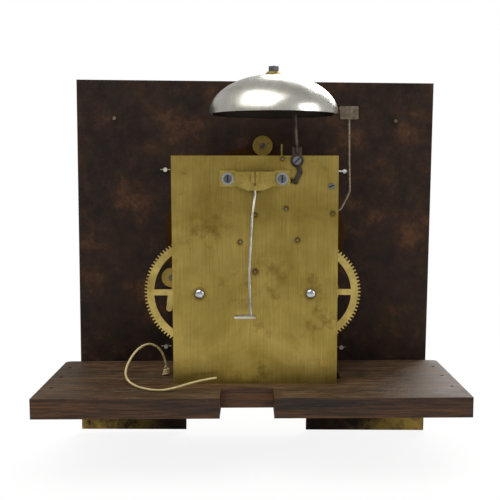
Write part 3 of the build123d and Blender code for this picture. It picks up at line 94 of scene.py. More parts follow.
def add(tree, kind, links=None, **settings):
    """Adds a node with its settings, and its inputs as values or links."""
    node = tree.nodes.new(kind)
    for key, value in settings.items():
        setattr(node, key, value)
    for key, value in (links or {}).items():
        if isinstance(value, bpy.types.NodeSocket):
            tree.links.new(value, node.inputs[key])
        else:
            node.inputs[key].default_value = value
    return node


def blank_material(name):
    """A new material with only its output, and the tree that it is built in."""
    material = bpy.data.materials.new(name)
    material.use_nodes = True
    material.node_tree.nodes.clear()
    return material, material.node_tree


def per_mm(size):
    """The texture scale at which a feature is this many millimetres across."""
    return 1000.0 / size


def twisted_gut():
    """Dried gut: straw yellow, a little translucent at its surface, with the lay of its strands."""
    material, tree = blank_material("twisted_gut")
    place = add(tree, "ShaderNodeTexCoord").outputs["Object"]
    patches = add(tree, "ShaderNodeTexNoise", {"Vector": place, "Scale": per_mm(9), "Detail": 3.0})
    strands = add(
        tree, "ShaderNodeTexWave", {"Vector": place, "Scale": per_mm(2.2), "Distortion": 1.5},
        bands_direction="DIAGONAL",
    )
    colour = add(
        tree, "ShaderNodeMix",
        {0: patches.outputs["Fac"], 6: linear("#c9b684"), 7: linear("#8f7a4a")},
        data_type="RGBA",
    )
    bump = add(
        tree, "ShaderNodeBump",
        {"Height": strands.outputs["Fac"], "Strength": 0.35, "Distance": 0.0002},
    )
    shader = add(
        tree, "ShaderNodeBsdfPrincipled",
        {
            "Base Color": colour.outputs[2],
            "Roughness": 0.42,
            "Normal": bump.outputs["Normal"],
            "IOR": 1.5,
        },
    )
    add(tree, "ShaderNodeOutputMaterial", {"Surface": shader.outputs["BSDF"]})
    return material


gut = twisted_gut()
line_diameter = 1.8
line_points = [
    (71.4, 3.2, 24.2),
    (73.0, 4.6, 32.4),
    (77.4, 7.2, 39.4),
    (84.6, 10.6, 43.0),
    (92.6, 15.6, 39.2),
    (98.6, 22.0, 31.2),
    (101.0, 30.6, 23.4),
    (97.6, 39.6, 18.6),
    (90.0, 48.6, 16.4),
    (80.0, 57.0, 15.9),
    (69.6, 60.6, 16.0),
    (60.0, 58.4, 17.4),
    (50.4, 54.0, 19.6),
    (40.0, 49.8, 21.4),
    (29.6, 46.2, 22.4),
]


def cord_curve(name, points, diameter):
    """A round cord along a smooth line through the pull of its points."""
    data = bpy.data.curves.new(name, "CURVE")
    data.dimensions = "3D"
    data.bevel_depth = diameter / 2 * MM
    data.bevel_resolution = 5
    data.resolution_u = 10
    data.use_fill_caps = True
    spline = data.splines.new("NURBS")
    spline.points.add(len(points) - 1)
    for target, point in zip(spline.points, points):
        target.co = (*(Vector(point) * MM), 1.0)
    spline.order_u = 3
    spline.use_endpoint_u = True
    data.materials.append(gut)
    made = bpy.data.objects.new(name, data)
    bpy.context.scene.collection.objects.link(made)
    return made


gut_cord = cord_curve("gut_cord", line_points, line_diameter)
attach(gut_cord, "frame")
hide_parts("gut_line")

# The stopper knot: the same gut wound round itself three times and drawn tight over its hole.
# Each turn lies on the one below, and a short cut end stands out at its foot.
knot_x, knot_y = 71.4, 3.2
knot_foot = 16.2
knot_turns, knot_steps = 3, 8
knot_turn_r = 1.85
knot_lead = 0.3
knot_rise = 4.6
drawn_tight = 0.92
knot_points = [
    (knot_x + 2.6, knot_y + 0.4, knot_foot + 0.2),
    (knot_x + 2.2, knot_y - 1.2, knot_foot),
]
for step in range(knot_turns * knot_steps):
    angle = step * math.tau / knot_steps
    rise = knot_foot + knot_lead + step * knot_rise / (knot_turns * knot_steps)
    knot_points.append(
        (knot_x + knot_turn_r * math.cos(angle), knot_y + knot_turn_r * math.sin(angle), rise)
    )
knot_points.append((knot_x, knot_y, 22.4))
knot_points.append((knot_x, knot_y, 23.8))
knot = cord_curve("stopper_knot", knot_points, line_diameter * drawn_tight)
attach(knot, "frame")
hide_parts("gut_knot")


# Studio: a white floor that the dial's lower edge stands on, a white surround and three softboxes.
# The floor keeps a faint shadow; the object's own colours render about as they are written.
world = bpy.data.worlds.new("white_surround")
bpy.context.scene.world = world
world.use_nodes = True
world.node_tree.nodes.clear()
seen = add(world.node_tree, "ShaderNodeLightPath")
plain = add(world.node_tree, "ShaderNodeBackground", {"Color": linear("#e6e6e6"), "Strength": 0.6})
white = add(world.node_tree, "ShaderNodeBackground", {"Color": (1, 1, 1, 1), "Strength": 1.0})
surround = add(
    world.node_tree, "ShaderNodeMixShader",
    {0: seen.outputs["Is Camera Ray"], 1: plain.outputs[0], 2: white.outputs[0]},
)
add(world.node_tree, "ShaderNodeOutputWorld", {"Surface": surround.outputs[0]})


def softbox(name, place, aim, size, watts):
    """A square studio lamp behind cloth, aimed at a point."""
    data = bpy.data.lights.new(name, "AREA")
    data.size = size
    data.energy = watts
    lamp = bpy.data.objects.new(name, data)
    lamp.location = place
    lamp.rotation_euler = (Vector(aim) - Vector(place)).to_track_quat("-Z", "Y").to_euler()
    bpy.context.scene.collection.objects.link(lamp)


middle = (0.0, 0.0, 0.11)
softbox("key_softbox", (0.42, 0.6, 1.15), middle, 1.3, 16.0)
softbox("side_softbox", (-0.95, 0.45, 0.45), middle, 0.6, 4.0)
softbox("front_softbox", (-0.35, -0.95, 0.75), middle, 0.7, 12.0)

floor_side = 8.0
floor_gap = 0.0002
floor_data = bpy.data.meshes.new("floor")
half = floor_side / 2
floor_z = cad_box[0][2] - floor_gap
floor_corners = [(-half, -half), (half, -half), (half, half), (-half, half)]
floor_data.from_pydata([(x, y, floor_z) for x, y in floor_corners], [], [(0, 1, 2, 3)])
floor = bpy.data.objects.new("floor", floor_data)
bpy.context.scene.collection.objects.link(floor)
floor_paper, tree = blank_material("white_paper_floor")
seen = add(tree, "ShaderNodeLightPath")
spot = add(tree, "ShaderNodeTexCoord")
reach = add(tree, "ShaderNodeVectorMath", {0: spot.outputs["Object"]}, operation="LENGTH")
clean = add(
    tree, "ShaderNodeMapRange",
    {0: reach.outputs["Value"], 1: 0.2, 2: 0.7, 3: 0.88, 4: 1.0},
)
share = add(
    tree, "ShaderNodeMath", {0: seen.outputs["Is Camera Ray"], 1: clean.outputs[0]}, operation="MULTIPLY",
)
paper = add(tree, "ShaderNodeBsdfDiffuse", {"Color": linear("#f4f4f2")})
glow = add(tree, "ShaderNodeEmission", {"Color": (1, 1, 1, 1), "Strength": 1.0})
both = add(
    tree, "ShaderNodeMixShader",
    {0: share.outputs[0], 1: paper.outputs[0], 2: glow.outputs[0]},
)
add(tree, "ShaderNodeOutputMaterial", {"Surface": both.outputs[0]})
floor_data.materials.append(floor_paper)


# Seatboard: one plank of old oak, sawn across its ends and bored for nails, dark with age.
# Dust has settled in its pores on top; the sawn edge towards the pendulum is redder and bare.
def soften(names, width, segments=2, angle=35):
    """Eases the sharp edges of pieces by a real width in millimetres."""
    for name in names:
        easing = nodes[name].modifiers.new("eased_edges", "BEVEL")
        easing.width = width * MM
        easing.segments = segments
        easing.limit_method = "ANGLE"
        easing.angle_limit = math.radians(angle)


def finish(material, *names):
    """Puts a finish on CAD pieces."""
    for name in names:
        piece = nodes[name]
        if not piece.material_slots:
            piece.data.materials.append(material)
        for slot in piece.material_slots:
            slot.material = material


def old_oak():
    """Aged oak: long dark pores every few millimetres, soft figure, dull where dust lies."""
    material, tree = blank_material("old_oak")
    coordinates = add(tree, "ShaderNodeTexCoord")
    place = coordinates.outputs["Object"]
    along = add(tree, "ShaderNodeMapping", {"Vector": place, "Scale": (0.06, 1.0, 1.0)})
    figure = add(
        tree, "ShaderNodeTexNoise",
        {"Vector": along.outputs[0], "Scale": per_mm(11), "Detail": 5.0, "Roughness": 0.62},
    )
    fine = add(
        tree, "ShaderNodeTexNoise",
        {"Vector": along.outputs[0], "Scale": per_mm(1.6), "Detail": 4.0, "Roughness": 0.7},
    )
    wood = add(tree, "ShaderNodeValToRGB", {"Fac": figure.outputs["Fac"]})
    wood.color_ramp.elements[0].position = 0.33
    wood.color_ramp.elements[0].color = linear("#22140a")
    wood.color_ramp.elements[1].position = 0.66
    wood.color_ramp.elements[1].color = linear("#573619")
    pores = add(
        tree, "ShaderNodeMapRange",
        {0: fine.outputs["Fac"], 1: 0.44, 2: 0.58, 3: 0.42, 4: 1.0},
    )
    grain = add(
        tree, "ShaderNodeMix", {0: 1.0, 6: wood.outputs[0], 7: pores.outputs[0]},
        data_type="RGBA", blend_type="MULTIPLY",
    )
    facing = add(tree, "ShaderNodeSeparateXYZ", {0: coordinates.outputs["Normal"]})
    upward = add(tree, "ShaderNodeMapRange", {0: facing.outputs["Z"], 1: 0.6, 2: 0.95})
    settled = add(
        tree, "ShaderNodeTexNoise",
        {"Vector": place, "Scale": per_mm(26), "Detail": 8.0, "Roughness": 0.72},
    )
    drift = add(
        tree, "ShaderNodeMapRange",
        {0: settled.outputs["Fac"], 1: 0.40, 2: 0.70, 3: 0.16, 4: 0.62},
    )
    specks = add(
        tree, "ShaderNodeMapRange",
        {0: fine.outputs["Fac"], 1: 0.46, 2: 0.64, 3: 0.25, 4: 1.0},
    )
    held = add(
        tree, "ShaderNodeMath",
        {0: drift.outputs[0], 1: specks.outputs[0]}, operation="MULTIPLY",
    )
    dust = add(
        tree, "ShaderNodeMath",
        {0: held.outputs[0], 1: upward.outputs[0]}, operation="MULTIPLY",
    )
    colour = add(
        tree, "ShaderNodeMix",
        {0: dust.outputs[0], 6: grain.outputs[2], 7: linear("#7d6a4e")},
        data_type="RGBA",
    )
    gloss = add(tree, "ShaderNodeMapRange", {0: dust.outputs[0], 1: 0.0, 2: 0.5, 3: 0.48, 4: 0.85})
    bump = add(
        tree, "ShaderNodeBump", {"Height": pores.outputs[0], "Strength": 0.55, "Distance": 0.0004},
    )
    shader = add(
        tree, "ShaderNodeBsdfPrincipled",
        {
            "Base Color": colour.outputs[2],
            "Roughness": gloss.outputs[0],
            "Normal": bump.outputs["Normal"],
            "Specular IOR Level": 0.25,
            "IOR": 1.5,
        },
    )
    add(tree, "ShaderNodeOutputMaterial", {"Surface": shader.outputs["BSDF"]})
    return material


finish(old_oak(), "seatboard")
soften(["seatboard"], 1.0, 3)


# Plates and pillars: cast brass, hammered, scraped flat and drawn along with stone from end to end.
# Two centuries have turned it olive, with brown stains, fingerprints and oil spread from the pivots.
def worn_metal(
    name, light, shade, stain, patch, brush, draw, rough, stain_edge=(0.58, 0.72), marks=(),
):
    """Drawn metal: a base of two tones, fine parallel scratches, and stains that dull it."""
    material, tree = blank_material(name)
    place = add(tree, "ShaderNodeTexCoord").outputs["Object"]
    stretched = add(tree, "ShaderNodeMapping", {"Vector": place, "Scale": draw})
    scratches = add(
        tree, "ShaderNodeTexNoise",
        {"Vector": stretched.outputs[0], "Scale": per_mm(brush), "Detail": 3.0, "Roughness": 0.6},
    )
    patches = add(
        tree, "ShaderNodeTexNoise",
        {"Vector": place, "Scale": per_mm(patch), "Detail": 6.0, "Roughness": 0.62, "Distortion": 0.4},
    )
    tone_share = add(tree, "ShaderNodeMapRange", {0: patches.outputs["Fac"], 1: 0.34, 2: 0.66})
    tone = add(
        tree, "ShaderNodeMix", {0: tone_share.outputs[0], 6: linear(light), 7: linear(shade)},
        data_type="RGBA",
    )
    lines = add(
        tree, "ShaderNodeMapRange",
        {0: scratches.outputs["Fac"], 1: 0.3, 2: 0.7, 3: 0.86, 4: 1.1},
    )
    drawn = add(
        tree, "ShaderNodeMix", {0: 1.0, 6: tone.outputs[2], 7: lines.outputs[0]},
        data_type="RGBA", blend_type="MULTIPLY",
    )
    blotches = add(
        tree, "ShaderNodeTexNoise",
        {"Vector": place, "Scale": per_mm(patch * 0.45), "Detail": 9.0, "Roughness": 0.68},
    )
    stained = add(
        tree, "ShaderNodeMapRange",
        {0: blotches.outputs["Fac"], 1: stain_edge[0], 2: stain_edge[1], 3: 0.0, 4: 0.75},
    ).outputs[0]
    for x, z, reach in marks:
        away = add(
            tree, "ShaderNodeVectorMath",
            {0: place, 1: (x * MM, plate_rear_y, z * MM)}, operation="DISTANCE",
        )
        spread = add(
            tree, "ShaderNodeMapRange",
            {0: away.outputs["Value"], 1: reach * 0.45 * MM, 2: reach * MM, 3: 0.85, 4: 0.0},
        )
        stained = add(
            tree, "ShaderNodeMath", {0: stained, 1: spread.outputs[0]}, operation="MAXIMUM",
        ).outputs[0]
    colour = add(
        tree, "ShaderNodeMix", {0: stained, 6: drawn.outputs[2], 7: linear(stain)}, data_type="RGBA",
    )
    dulled = add(
        tree, "ShaderNodeMapRange",
        {0: stained, 1: 0.0, 2: 1.0, 3: rough, 4: min(rough + 0.3, 0.9)},
    )
    bump = add(
        tree, "ShaderNodeBump",
        {"Height": scratches.outputs["Fac"], "Strength": 0.22, "Distance": 0.00012},
    )
    shader = add(
        tree, "ShaderNodeBsdfPrincipled",
        {
            "Base Color": colour.outputs[2],
            "Metallic": 1.0,
            "Roughness": dulled.outputs[0],
            "Normal": bump.outputs["Normal"],
        },
    )
    add(tree, "ShaderNodeOutputMaterial", {"Surface": shader.outputs["BSDF"]})
    return material


plate_rear_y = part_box("back_plate")[1][1]
pivot_marks = [
    (0, 102, 4.2), (11.5, 124.5, 3.4), (0, 145, 3.4), (-32.2, 126, 3.6), (-23.5, 150, 3.4),
    (-27, 171, 3.2), (-20.8, 187, 3.0), (-58.8, 146, 3.6), (0, 168.2, 9.0), (42.4, 84.9, 6.4),
    (-42.4, 84.9, 6.4),
]
upright = (1.0, 1.0, 0.03)
plate_brass = worn_metal(
    "drawn_plate_brass", "#a18c4b", "#7f6c31", "#4d3b16", 46, 1.1, upright, 0.38,
    stain_edge=(0.57, 0.76), marks=pivot_marks,
)
finish(plate_brass, "back_plate")
front_brass = worn_metal(
    "drawn_front_brass", "#a18c4b", "#7f6c31", "#4d3b16", 46, 1.1, upright, 0.38,
)
finish(front_brass, "front_plate", "hour_bridge")
turned_brass = worn_metal(
    "turned_pillar_brass", "#a68c48", "#7d682f", "#4a3817", 18, 0.5, (1.0, 0.04, 1.0), 0.34,
)
finish(turned_brass, "pillars", "dial_feet")
soften(["back_plate", "front_plate"], 0.35)
soften(["hour_bridge"], 0.25)


# Wheels, drums and clicks: cast brass wheels, cut and crossed out by hand, with the marks of the
# file left on their arms; cleaner than the plates because the teeth are rubbed bright in use.
wheel_brass = worn_metal(
    "crossed_wheel_brass", "#bba663", "#968046", "#5f4c24", 15, 0.7, (1.0, 1.0, 0.25), 0.33,
    stain_edge=(0.62, 0.8),
)
finish(
    wheel_brass,
    "going_great_wheel", "strike_great_wheel", "going_barrel", "strike_barrel", "centre_wheel",
    "cannon_pinion", "minute_wheel", "hour_wheel", "snail", "escape_wheel",
)


def wheel_on_arbor(name, arbor_x, arbor_z, wheel_low, wheel_high):
    """Brass for the wheel, and polished steel for the arbor and pinion that carry it."""
    steel_r = 3.7
    material, tree = blank_material(name)
    place = add(tree, "ShaderNodeTexCoord").outputs["Object"]
    split = add(tree, "ShaderNodeSeparateXYZ", {0: place})
    across = add(tree, "ShaderNodeMath", {0: split.outputs["X"], 1: arbor_x}, operation="SUBTRACT")
    above = add(tree, "ShaderNodeMath", {0: split.outputs["Z"], 1: arbor_z}, operation="SUBTRACT")
    flat = add(tree, "ShaderNodeCombineXYZ", {0: across.outputs[0], 1: above.outputs[0]})
    away = add(tree, "ShaderNodeVectorMath", {0: flat.outputs[0]}, operation="LENGTH")
    near = add(
        tree, "ShaderNodeMath",
        {0: away.outputs["Value"], 1: steel_r * MM}, operation="LESS_THAN",
    )
    past = add(
        tree, "ShaderNodeMath",
        {0: split.outputs["Y"], 1: wheel_high}, operation="GREATER_THAN",
    )
    before = add(
        tree, "ShaderNodeMath",
        {0: split.outputs["Y"], 1: wheel_low}, operation="LESS_THAN",
    )
    outside = add(
        tree, "ShaderNodeMath",
        {0: past.outputs[0], 1: before.outputs[0]}, operation="MAXIMUM",
    )
    steel_share = add(
        tree, "ShaderNodeMath",
        {0: near.outputs[0], 1: outside.outputs[0]}, operation="MULTIPLY",
    )
    mottling = add(tree, "ShaderNodeTexNoise", {"Vector": place, "Scale": per_mm(8), "Detail": 5.0})
    brass = add(
        tree, "ShaderNodeMix",
        {0: mottling.outputs["Fac"], 6: linear("#cdb677"), 7: linear("#94793c")}, data_type="RGBA",
    )
    colour = add(
        tree, "ShaderNodeMix",
        {0: steel_share.outputs[0], 6: brass.outputs[2], 7: linear("#8d8a84")}, data_type="RGBA",
    )
    polish = add(tree, "ShaderNodeMapRange", {0: steel_share.outputs[0], 3: 0.34, 4: 0.22})
    shader = add(
        tree, "ShaderNodeBsdfPrincipled",
        {"Base Color": colour.outputs[2], "Metallic": 1.0, "Roughness": polish.outputs[0]},
    )
    add(tree, "ShaderNodeOutputMaterial", {"Surface": shader.outputs["BSDF"]})
    return material


# Each wheel's back face lies so far before the back plate, and each is so thick, in millimetres.
wheel_seats = {
    "third": ("third_wheel", 50, 2),
    "pins": ("pin_wheel", 57, 2),
    "gathering": ("gathering_wheel", 32, 2),
    "warning": ("warning_wheel", 53.5, 2),
    "fly_body": ("fly", 14, 28),
}
seat_slack = 0.0001
back_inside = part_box("back_plate")[0][1]
for joint in frame["joints"]:
    if joint["child"] not in wheel_seats:
        continue
    piece, seat, thickness = wheel_seats[joint["child"]]
    high = back_inside - seat * MM + seat_slack
    low = high - thickness * MM - 2 * seat_slack
    arbor_x, _, arbor_z = joint["pos_m"]
    finish(wheel_on_arbor(f"{piece}_brass_and_steel", arbor_x, arbor_z, low, high), piece)
soften(["going_great_wheel", "strike_great_wheel"], 0.16, 1, 25)


# Back cock and suspension stud: yellower cast brass, filed bright and screwed on last.
# The cock's standing wall carries the pallet arbor, and the split stud pinches the pendulum's spring.
cock_brass = worn_metal(
    "filed_cock_brass", "#b9a35b", "#97823e", "#4f3c18", 12, 0.6, (0.12, 1.0, 1.0), 0.3,
)
finish(cock_brass, "back_cock", "suspension_stud", "bell_washer")
finish(turned_brass, "date_ring_keepers")
soften(["back_cock", "suspension_stud"], 0.35)
soften(["bell_washer", "date_ring_keepers"], 0.2)


# Steel: arbors, screws, crutch, levers and hammer, forged or drawn, filed and polished bright.
# It has a cool grey shine, with thin brown rust in patches where oil has dried.
# The crutch and the screws carry painted shade, darkest down in their cuts and hollows.
bright_steel = worn_metal(
    "polished_steel", "#b9bcbf", "#8d9093", "#5d4d3f", 7, 0.4, (1.0, 1.0, 0.1), 0.24,
    stain_edge=(0.64, 0.86),
)
finish(bright_steel, "cock_washers", "hammer_stop")
soften(["back_plate_screws", "cock_washers"], 0.18)
grey_steel = worn_metal(
    "filed_grey_steel", "#85796a", "#635748", "#3b2c20", 5, 0.5, (1.0, 0.1, 1.0), 0.38,
    stain_edge=(0.50, 0.70),
)
finish(
    grey_steel,
    "hammer", "hammer_arbor", "hammer_spring", "taper_pins", "dial_screws", "bridge_screws",
    "front_studs", "going_barrel_arbor", "strike_barrel_arbor", "centre_arbor", "escape_arbor",
    "anchor", "gathering_pallet", "rack", "rack_hook", "lifting_piece", "seatboard_screws",
)


def steel_wire(name, light, shade, rough):
    """Drawn steel: plain and smooth, with a soft change of tone, and painted shade that darkens it in its
    cuts and hollows.
    """
    material, tree = blank_material(name)
    place = add(tree, "ShaderNodeTexCoord").outputs["Object"]
    tone = add(tree, "ShaderNodeTexNoise", {"Vector": place, "Scale": per_mm(14), "Detail": 4.0})
    share = add(tree, "ShaderNodeMapRange", {0: tone.outputs["Fac"], 1: 0.4, 2: 0.66})
    colour = add(
        tree, "ShaderNodeMix", {0: share.outputs[0], 6: linear(light), 7: linear(shade)}, data_type="RGBA",
    )
    # Painted shade: ambient occlusion darkens the colour in cuts, slots and hollows, almost to black.
    crevice_occlusion = add(tree, "ShaderNodeAmbientOcclusion", {"Distance": 0.0015}, samples=8)
    painted_crevice_shade = add(
        tree, "ShaderNodeMapRange",
        {0: crevice_occlusion.outputs["AO"], 1: 0.45, 2: 0.85, 3: 0.06, 4: 1.0},
    )
    colour = add(
        tree, "ShaderNodeMix", {0: 1.0, 6: colour.outputs[2], 7: painted_crevice_shade.outputs[0]},
        data_type="RGBA", blend_type="MULTIPLY",
    )
    shader = add(
        tree, "ShaderNodeBsdfPrincipled",
        {"Base Color": colour.outputs[2], "Metallic": 1.0, "Roughness": rough},
    )
    add(tree, "ShaderNodeOutputMaterial", {"Surface": shader.outputs["BSDF"]})
    return material


finish(steel_wire("drawn_crutch_wire_painted_shade", "#c4c0b4", "#8f8877", 0.34), "crutch")
finish(steel_wire("oiled_screw_steel_painted_shade", "#7d8084", "#55534f", 0.28), "back_plate_screws", "bell_nut")
soften(["hammer"], 0.3)
soften(["rack", "rack_hook", "lifting_piece"], 0.15)


# Bell stand: a forged iron bar, filed to shape and left brown, with a hooked tail below its screw.
# It is nearly black where the bell shades it, and worn to brown metal on its edges.
forged_iron = worn_metal(
    "forged_brown_iron", "#5b5046", "#3a322b", "#241a14", 10, 0.8, (1.0, 1.0, 0.2), 0.45,
    stain_edge=(0.45, 0.7),
)
finish(forged_iron, "bell_stand")
soften(["bell_stand"], 0.25)


# Bell: cast high-tin bell metal, turned inside and out, so it is silver grey with a lathe's fine
# rings; darker, spotted tarnish has gathered on it in clouds.
def turned_bell_metal():
    """Bell metal with rings of the turning tool outside, and painted shade that darkens its inside."""
    material, tree = blank_material("turned_bell_metal")
    coordinates = add(tree, "ShaderNodeTexCoord")
    place = coordinates.outputs["Object"]
    bell_low, bell_high = (Vector(corner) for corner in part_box("bell"))
    bell_middle = (bell_low + bell_high) / 2
    bell_middle.z = bell_low.z
    split = add(tree, "ShaderNodeSeparateXYZ", {0: place})
    height = add(tree, "ShaderNodeCombineXYZ", {2: split.outputs["Z"]})
    rings = add(
        tree, "ShaderNodeTexNoise",
        {"Vector": height.outputs[0], "Scale": per_mm(0.9), "Detail": 4.0, "Roughness": 0.75},
    )
    clouds = add(
        tree, "ShaderNodeTexNoise",
        {"Vector": place, "Scale": per_mm(24), "Detail": 7.0, "Roughness": 0.66, "Distortion": 0.6},
    )
    shading = add(tree, "ShaderNodeMapRange", {0: clouds.outputs["Fac"], 1: 0.38, 2: 0.68})
    tone = add(
        tree, "ShaderNodeMix",
        {0: shading.outputs[0], 6: linear("#dcd9cf"), 7: linear("#aaa69a")}, data_type="RGBA",
    )
    ring_shade = add(
        tree, "ShaderNodeMapRange",
        {0: rings.outputs["Fac"], 1: 0.3, 2: 0.7, 3: 0.84, 4: 1.08},
    )
    turned = add(
        tree, "ShaderNodeMix", {0: 1.0, 6: tone.outputs[2], 7: ring_shade.outputs[0]},
        data_type="RGBA", blend_type="MULTIPLY",
    )
    outward = add(
        tree, "ShaderNodeVectorMath", {0: place, 1: (bell_middle.x, bell_middle.y, bell_middle.z)},
        operation="SUBTRACT",
    )
    faces_out = add(
        tree, "ShaderNodeVectorMath", {0: outward.outputs[0], 1: coordinates.outputs["Normal"]},
        operation="DOT_PRODUCT",
    )
    inside_painted_shade = add(
        tree, "ShaderNodeMath",
        {0: faces_out.outputs["Value"], 1: 0.0}, operation="LESS_THAN",
    )
    # Painted shade: every face that turns inward is coloured dark brown-grey, and is a little rougher.
    colour = add(
        tree, "ShaderNodeMix",
        {0: inside_painted_shade.outputs[0], 6: turned.outputs[2], 7: linear("#38312a")}, data_type="RGBA",
    )
    shine = add(
        tree, "ShaderNodeMapRange",
        {0: clouds.outputs["Fac"], 1: 0.35, 2: 0.7, 3: 0.24, 4: 0.36},
    )
    polish = add(
        tree, "ShaderNodeMath", {0: inside_painted_shade.outputs[0], 1: 0.3, 2: shine.outputs[0]}, operation="MULTIPLY_ADD",
    )
    bump = add(
        tree, "ShaderNodeBump",
        {"Height": rings.outputs["Fac"], "Strength": 0.16, "Distance": 0.0001},
    )
    shader = add(
        tree, "ShaderNodeBsdfPrincipled",
        {
            "Base Color": colour.outputs[2],
            "Metallic": 1.0,
            "Roughness": polish.outputs[0],
            "Normal": bump.outputs["Normal"],
        },
    )
    add(tree, "ShaderNodeOutputMaterial", {"Surface": shader.outputs["BSDF"]})
    return material


finish(turned_bell_metal(), "bell")


# Dial plate: hammered brass, silver-matted at its centre, with a back that has never been cleaned.
# The back is nearly black with clouds of rust-brown patina, and rubbed to brass low at its corners.
def dial_sheet():
    """Patinated brass on the back, and a fine punched mat on the front."""
    material, tree = blank_material("patinated_dial_brass")
    coordinates = add(tree, "ShaderNodeTexCoord")
    place = coordinates.outputs["Object"]
    facing = add(tree, "ShaderNodeSeparateXYZ", {0: coordinates.outputs["Normal"]})
    split = add(tree, "ShaderNodeSeparateXYZ", {0: place})
    front_share = add(
        tree, "ShaderNodeMath",
        {0: facing.outputs["Y"], 1: -0.5}, operation="LESS_THAN",
    )
    clouds = add(
        tree, "ShaderNodeTexNoise",
        {"Vector": place, "Scale": per_mm(27), "Detail": 11.0, "Roughness": 0.78, "Distortion": 0.1},
    )
    back = add(tree, "ShaderNodeValToRGB", {"Fac": clouds.outputs["Fac"]})
    back.color_ramp.elements[0].position = 0.40
    back.color_ramp.elements[0].color = linear("#1a100a")
    back.color_ramp.elements[1].position = 0.76
    back.color_ramp.elements[1].color = linear("#5e3c22")
    middle_tone = back.color_ramp.elements.new(0.55)
    middle_tone.color = linear("#2e1d11")
    low = add(tree, "ShaderNodeMapRange", {0: split.outputs["Z"], 1: -0.022, 2: -0.046})
    side = add(tree, "ShaderNodeMath", {0: split.outputs["X"]}, operation="ABSOLUTE")
    outer = add(tree, "ShaderNodeMapRange", {0: side.outputs[0], 1: 0.075, 2: 0.135})
    rubbed = add(
        tree, "ShaderNodeMath",
        {0: low.outputs[0], 1: outer.outputs[0]}, operation="MULTIPLY",
    )
    patchy = add(tree, "ShaderNodeMapRange", {0: clouds.outputs["Fac"], 1: 0.42, 2: 0.56})
    bare = add(
        tree, "ShaderNodeMath",
        {0: rubbed.outputs[0], 1: patchy.outputs[0]}, operation="MULTIPLY",
    )
    back_colour = add(
        tree, "ShaderNodeMix",
        {0: bare.outputs[0], 6: back.outputs[0], 7: linear("#a08746")}, data_type="RGBA",
    )
    mat = add(tree, "ShaderNodeTexVoronoi", {"Vector": place, "Scale": per_mm(0.9)})
    front_tone = add(
        tree, "ShaderNodeMapRange",
        {0: mat.outputs["Distance"], 2: 0.7, 3: 0.7, 4: 1.0},
    )
    front_colour = add(
        tree, "ShaderNodeMix", {0: 1.0, 6: linear("#b39a62"), 7: front_tone.outputs[0]},
        data_type="RGBA", blend_type="MULTIPLY",
    )
    colour = add(
        tree, "ShaderNodeMix",
        {0: front_share.outputs[0], 6: back_colour.outputs[2], 7: front_colour.outputs[2]},
        data_type="RGBA",
    )
    bare_or_front = add(
        tree, "ShaderNodeMath", {0: bare.outputs[0], 1: front_share.outputs[0]}, operation="MAXIMUM",
    )
    metal_share = add(tree, "ShaderNodeMapRange", {0: bare_or_front.outputs[0], 3: 0.7, 4: 1.0})
    rough = add(
        tree, "ShaderNodeMapRange",
        {0: clouds.outputs["Fac"], 1: 0.3, 2: 0.7, 3: 0.42, 4: 0.62},
    )
    relief = add(
        tree, "ShaderNodeMix",
        {0: front_share.outputs[0], 2: clouds.outputs["Fac"], 3: mat.outputs["Distance"]},
        data_type="FLOAT",
    )
    bump = add(
        tree, "ShaderNodeBump",
        {"Height": relief.outputs[0], "Strength": 0.3, "Distance": 0.0003},
    )
    shader = add(
        tree, "ShaderNodeBsdfPrincipled",
        {
            "Base Color": colour.outputs[2],
            "Metallic": metal_share.outputs[0],
            "Roughness": rough.outputs[0],
            "Normal": bump.outputs["Normal"],
        },
    )
    add(tree, "ShaderNodeOutputMaterial", {"Surface": shader.outputs["BSDF"]})
    return material


finish(dial_sheet(), "dial_plate")
soften(["dial_plate"], 0.3)

# Spandrels: cast brass scrolls in the dial's corners, chased a little and lacquered gold.
# The light rounds on their edges come from the casting, and brown lies in the hollows.
gilt_castings = worn_metal(
    "gilt_cast_brass", "#c9a556", "#987537", "#4c3516", 6, 1.4, (1.0, 1.0, 1.0), 0.33,
    stain_edge=(0.5, 0.7),
)
finish(gilt_castings, "spandrels")
soften(["spandrels"], 0.7, 3)

# Chapter ring, seconds ring and date ring: brass rings rubbed with silver chloride and salt.
# That leaves a soft, fine-grained white that has yellowed a little under its varnish.
silvering = worn_metal(
    "silvered_brass", "#d8d5c8", "#c1bcaa", "#978b6c", 40, 0.8, (1.0, 1.0, 1.0), 0.42,
    stain_edge=(0.62, 0.86),
)
finish(silvering, "chapter_ring", "seconds_ring")
soften(["chapter_ring", "seconds_ring"], 0.25)


def silvered_one_side():
    """Silvered in front, and dark brown brass on the back that nobody cleaned."""
    material, tree = blank_material("date_ring_brass")
    coordinates = add(tree, "ShaderNodeTexCoord")
    facing = add(tree, "ShaderNodeSeparateXYZ", {0: coordinates.outputs["Normal"]})
    front_share = add(
        tree, "ShaderNodeMath",
        {0: facing.outputs["Y"], 1: -0.5}, operation="LESS_THAN",
    )
    clouds = add(
        tree, "ShaderNodeTexNoise",
        {"Vector": coordinates.outputs["Object"], "Scale": per_mm(20), "Detail": 8.0, "Roughness": 0.7},
    )
    back = add(
        tree, "ShaderNodeMix",
        {0: clouds.outputs["Fac"], 6: linear("#20140b"), 7: linear("#4d3418")}, data_type="RGBA",
    )
    colour = add(
        tree, "ShaderNodeMix",
        {0: front_share.outputs[0], 6: back.outputs[2], 7: linear("#cfccbe")}, data_type="RGBA",
    )
    rough = add(
        tree, "ShaderNodeMapRange",
        {0: clouds.outputs["Fac"], 1: 0.3, 2: 0.7, 3: 0.42, 4: 0.6},
    )
    shader = add(
        tree, "ShaderNodeBsdfPrincipled",
        {"Base Color": colour.outputs[2], "Metallic": 1.0, "Roughness": rough.outputs[0]},
    )
    add(tree, "ShaderNodeOutputMaterial", {"Surface": shader.outputs["BSDF"]})
    return material


finish(silvered_one_side(), "date_ring")

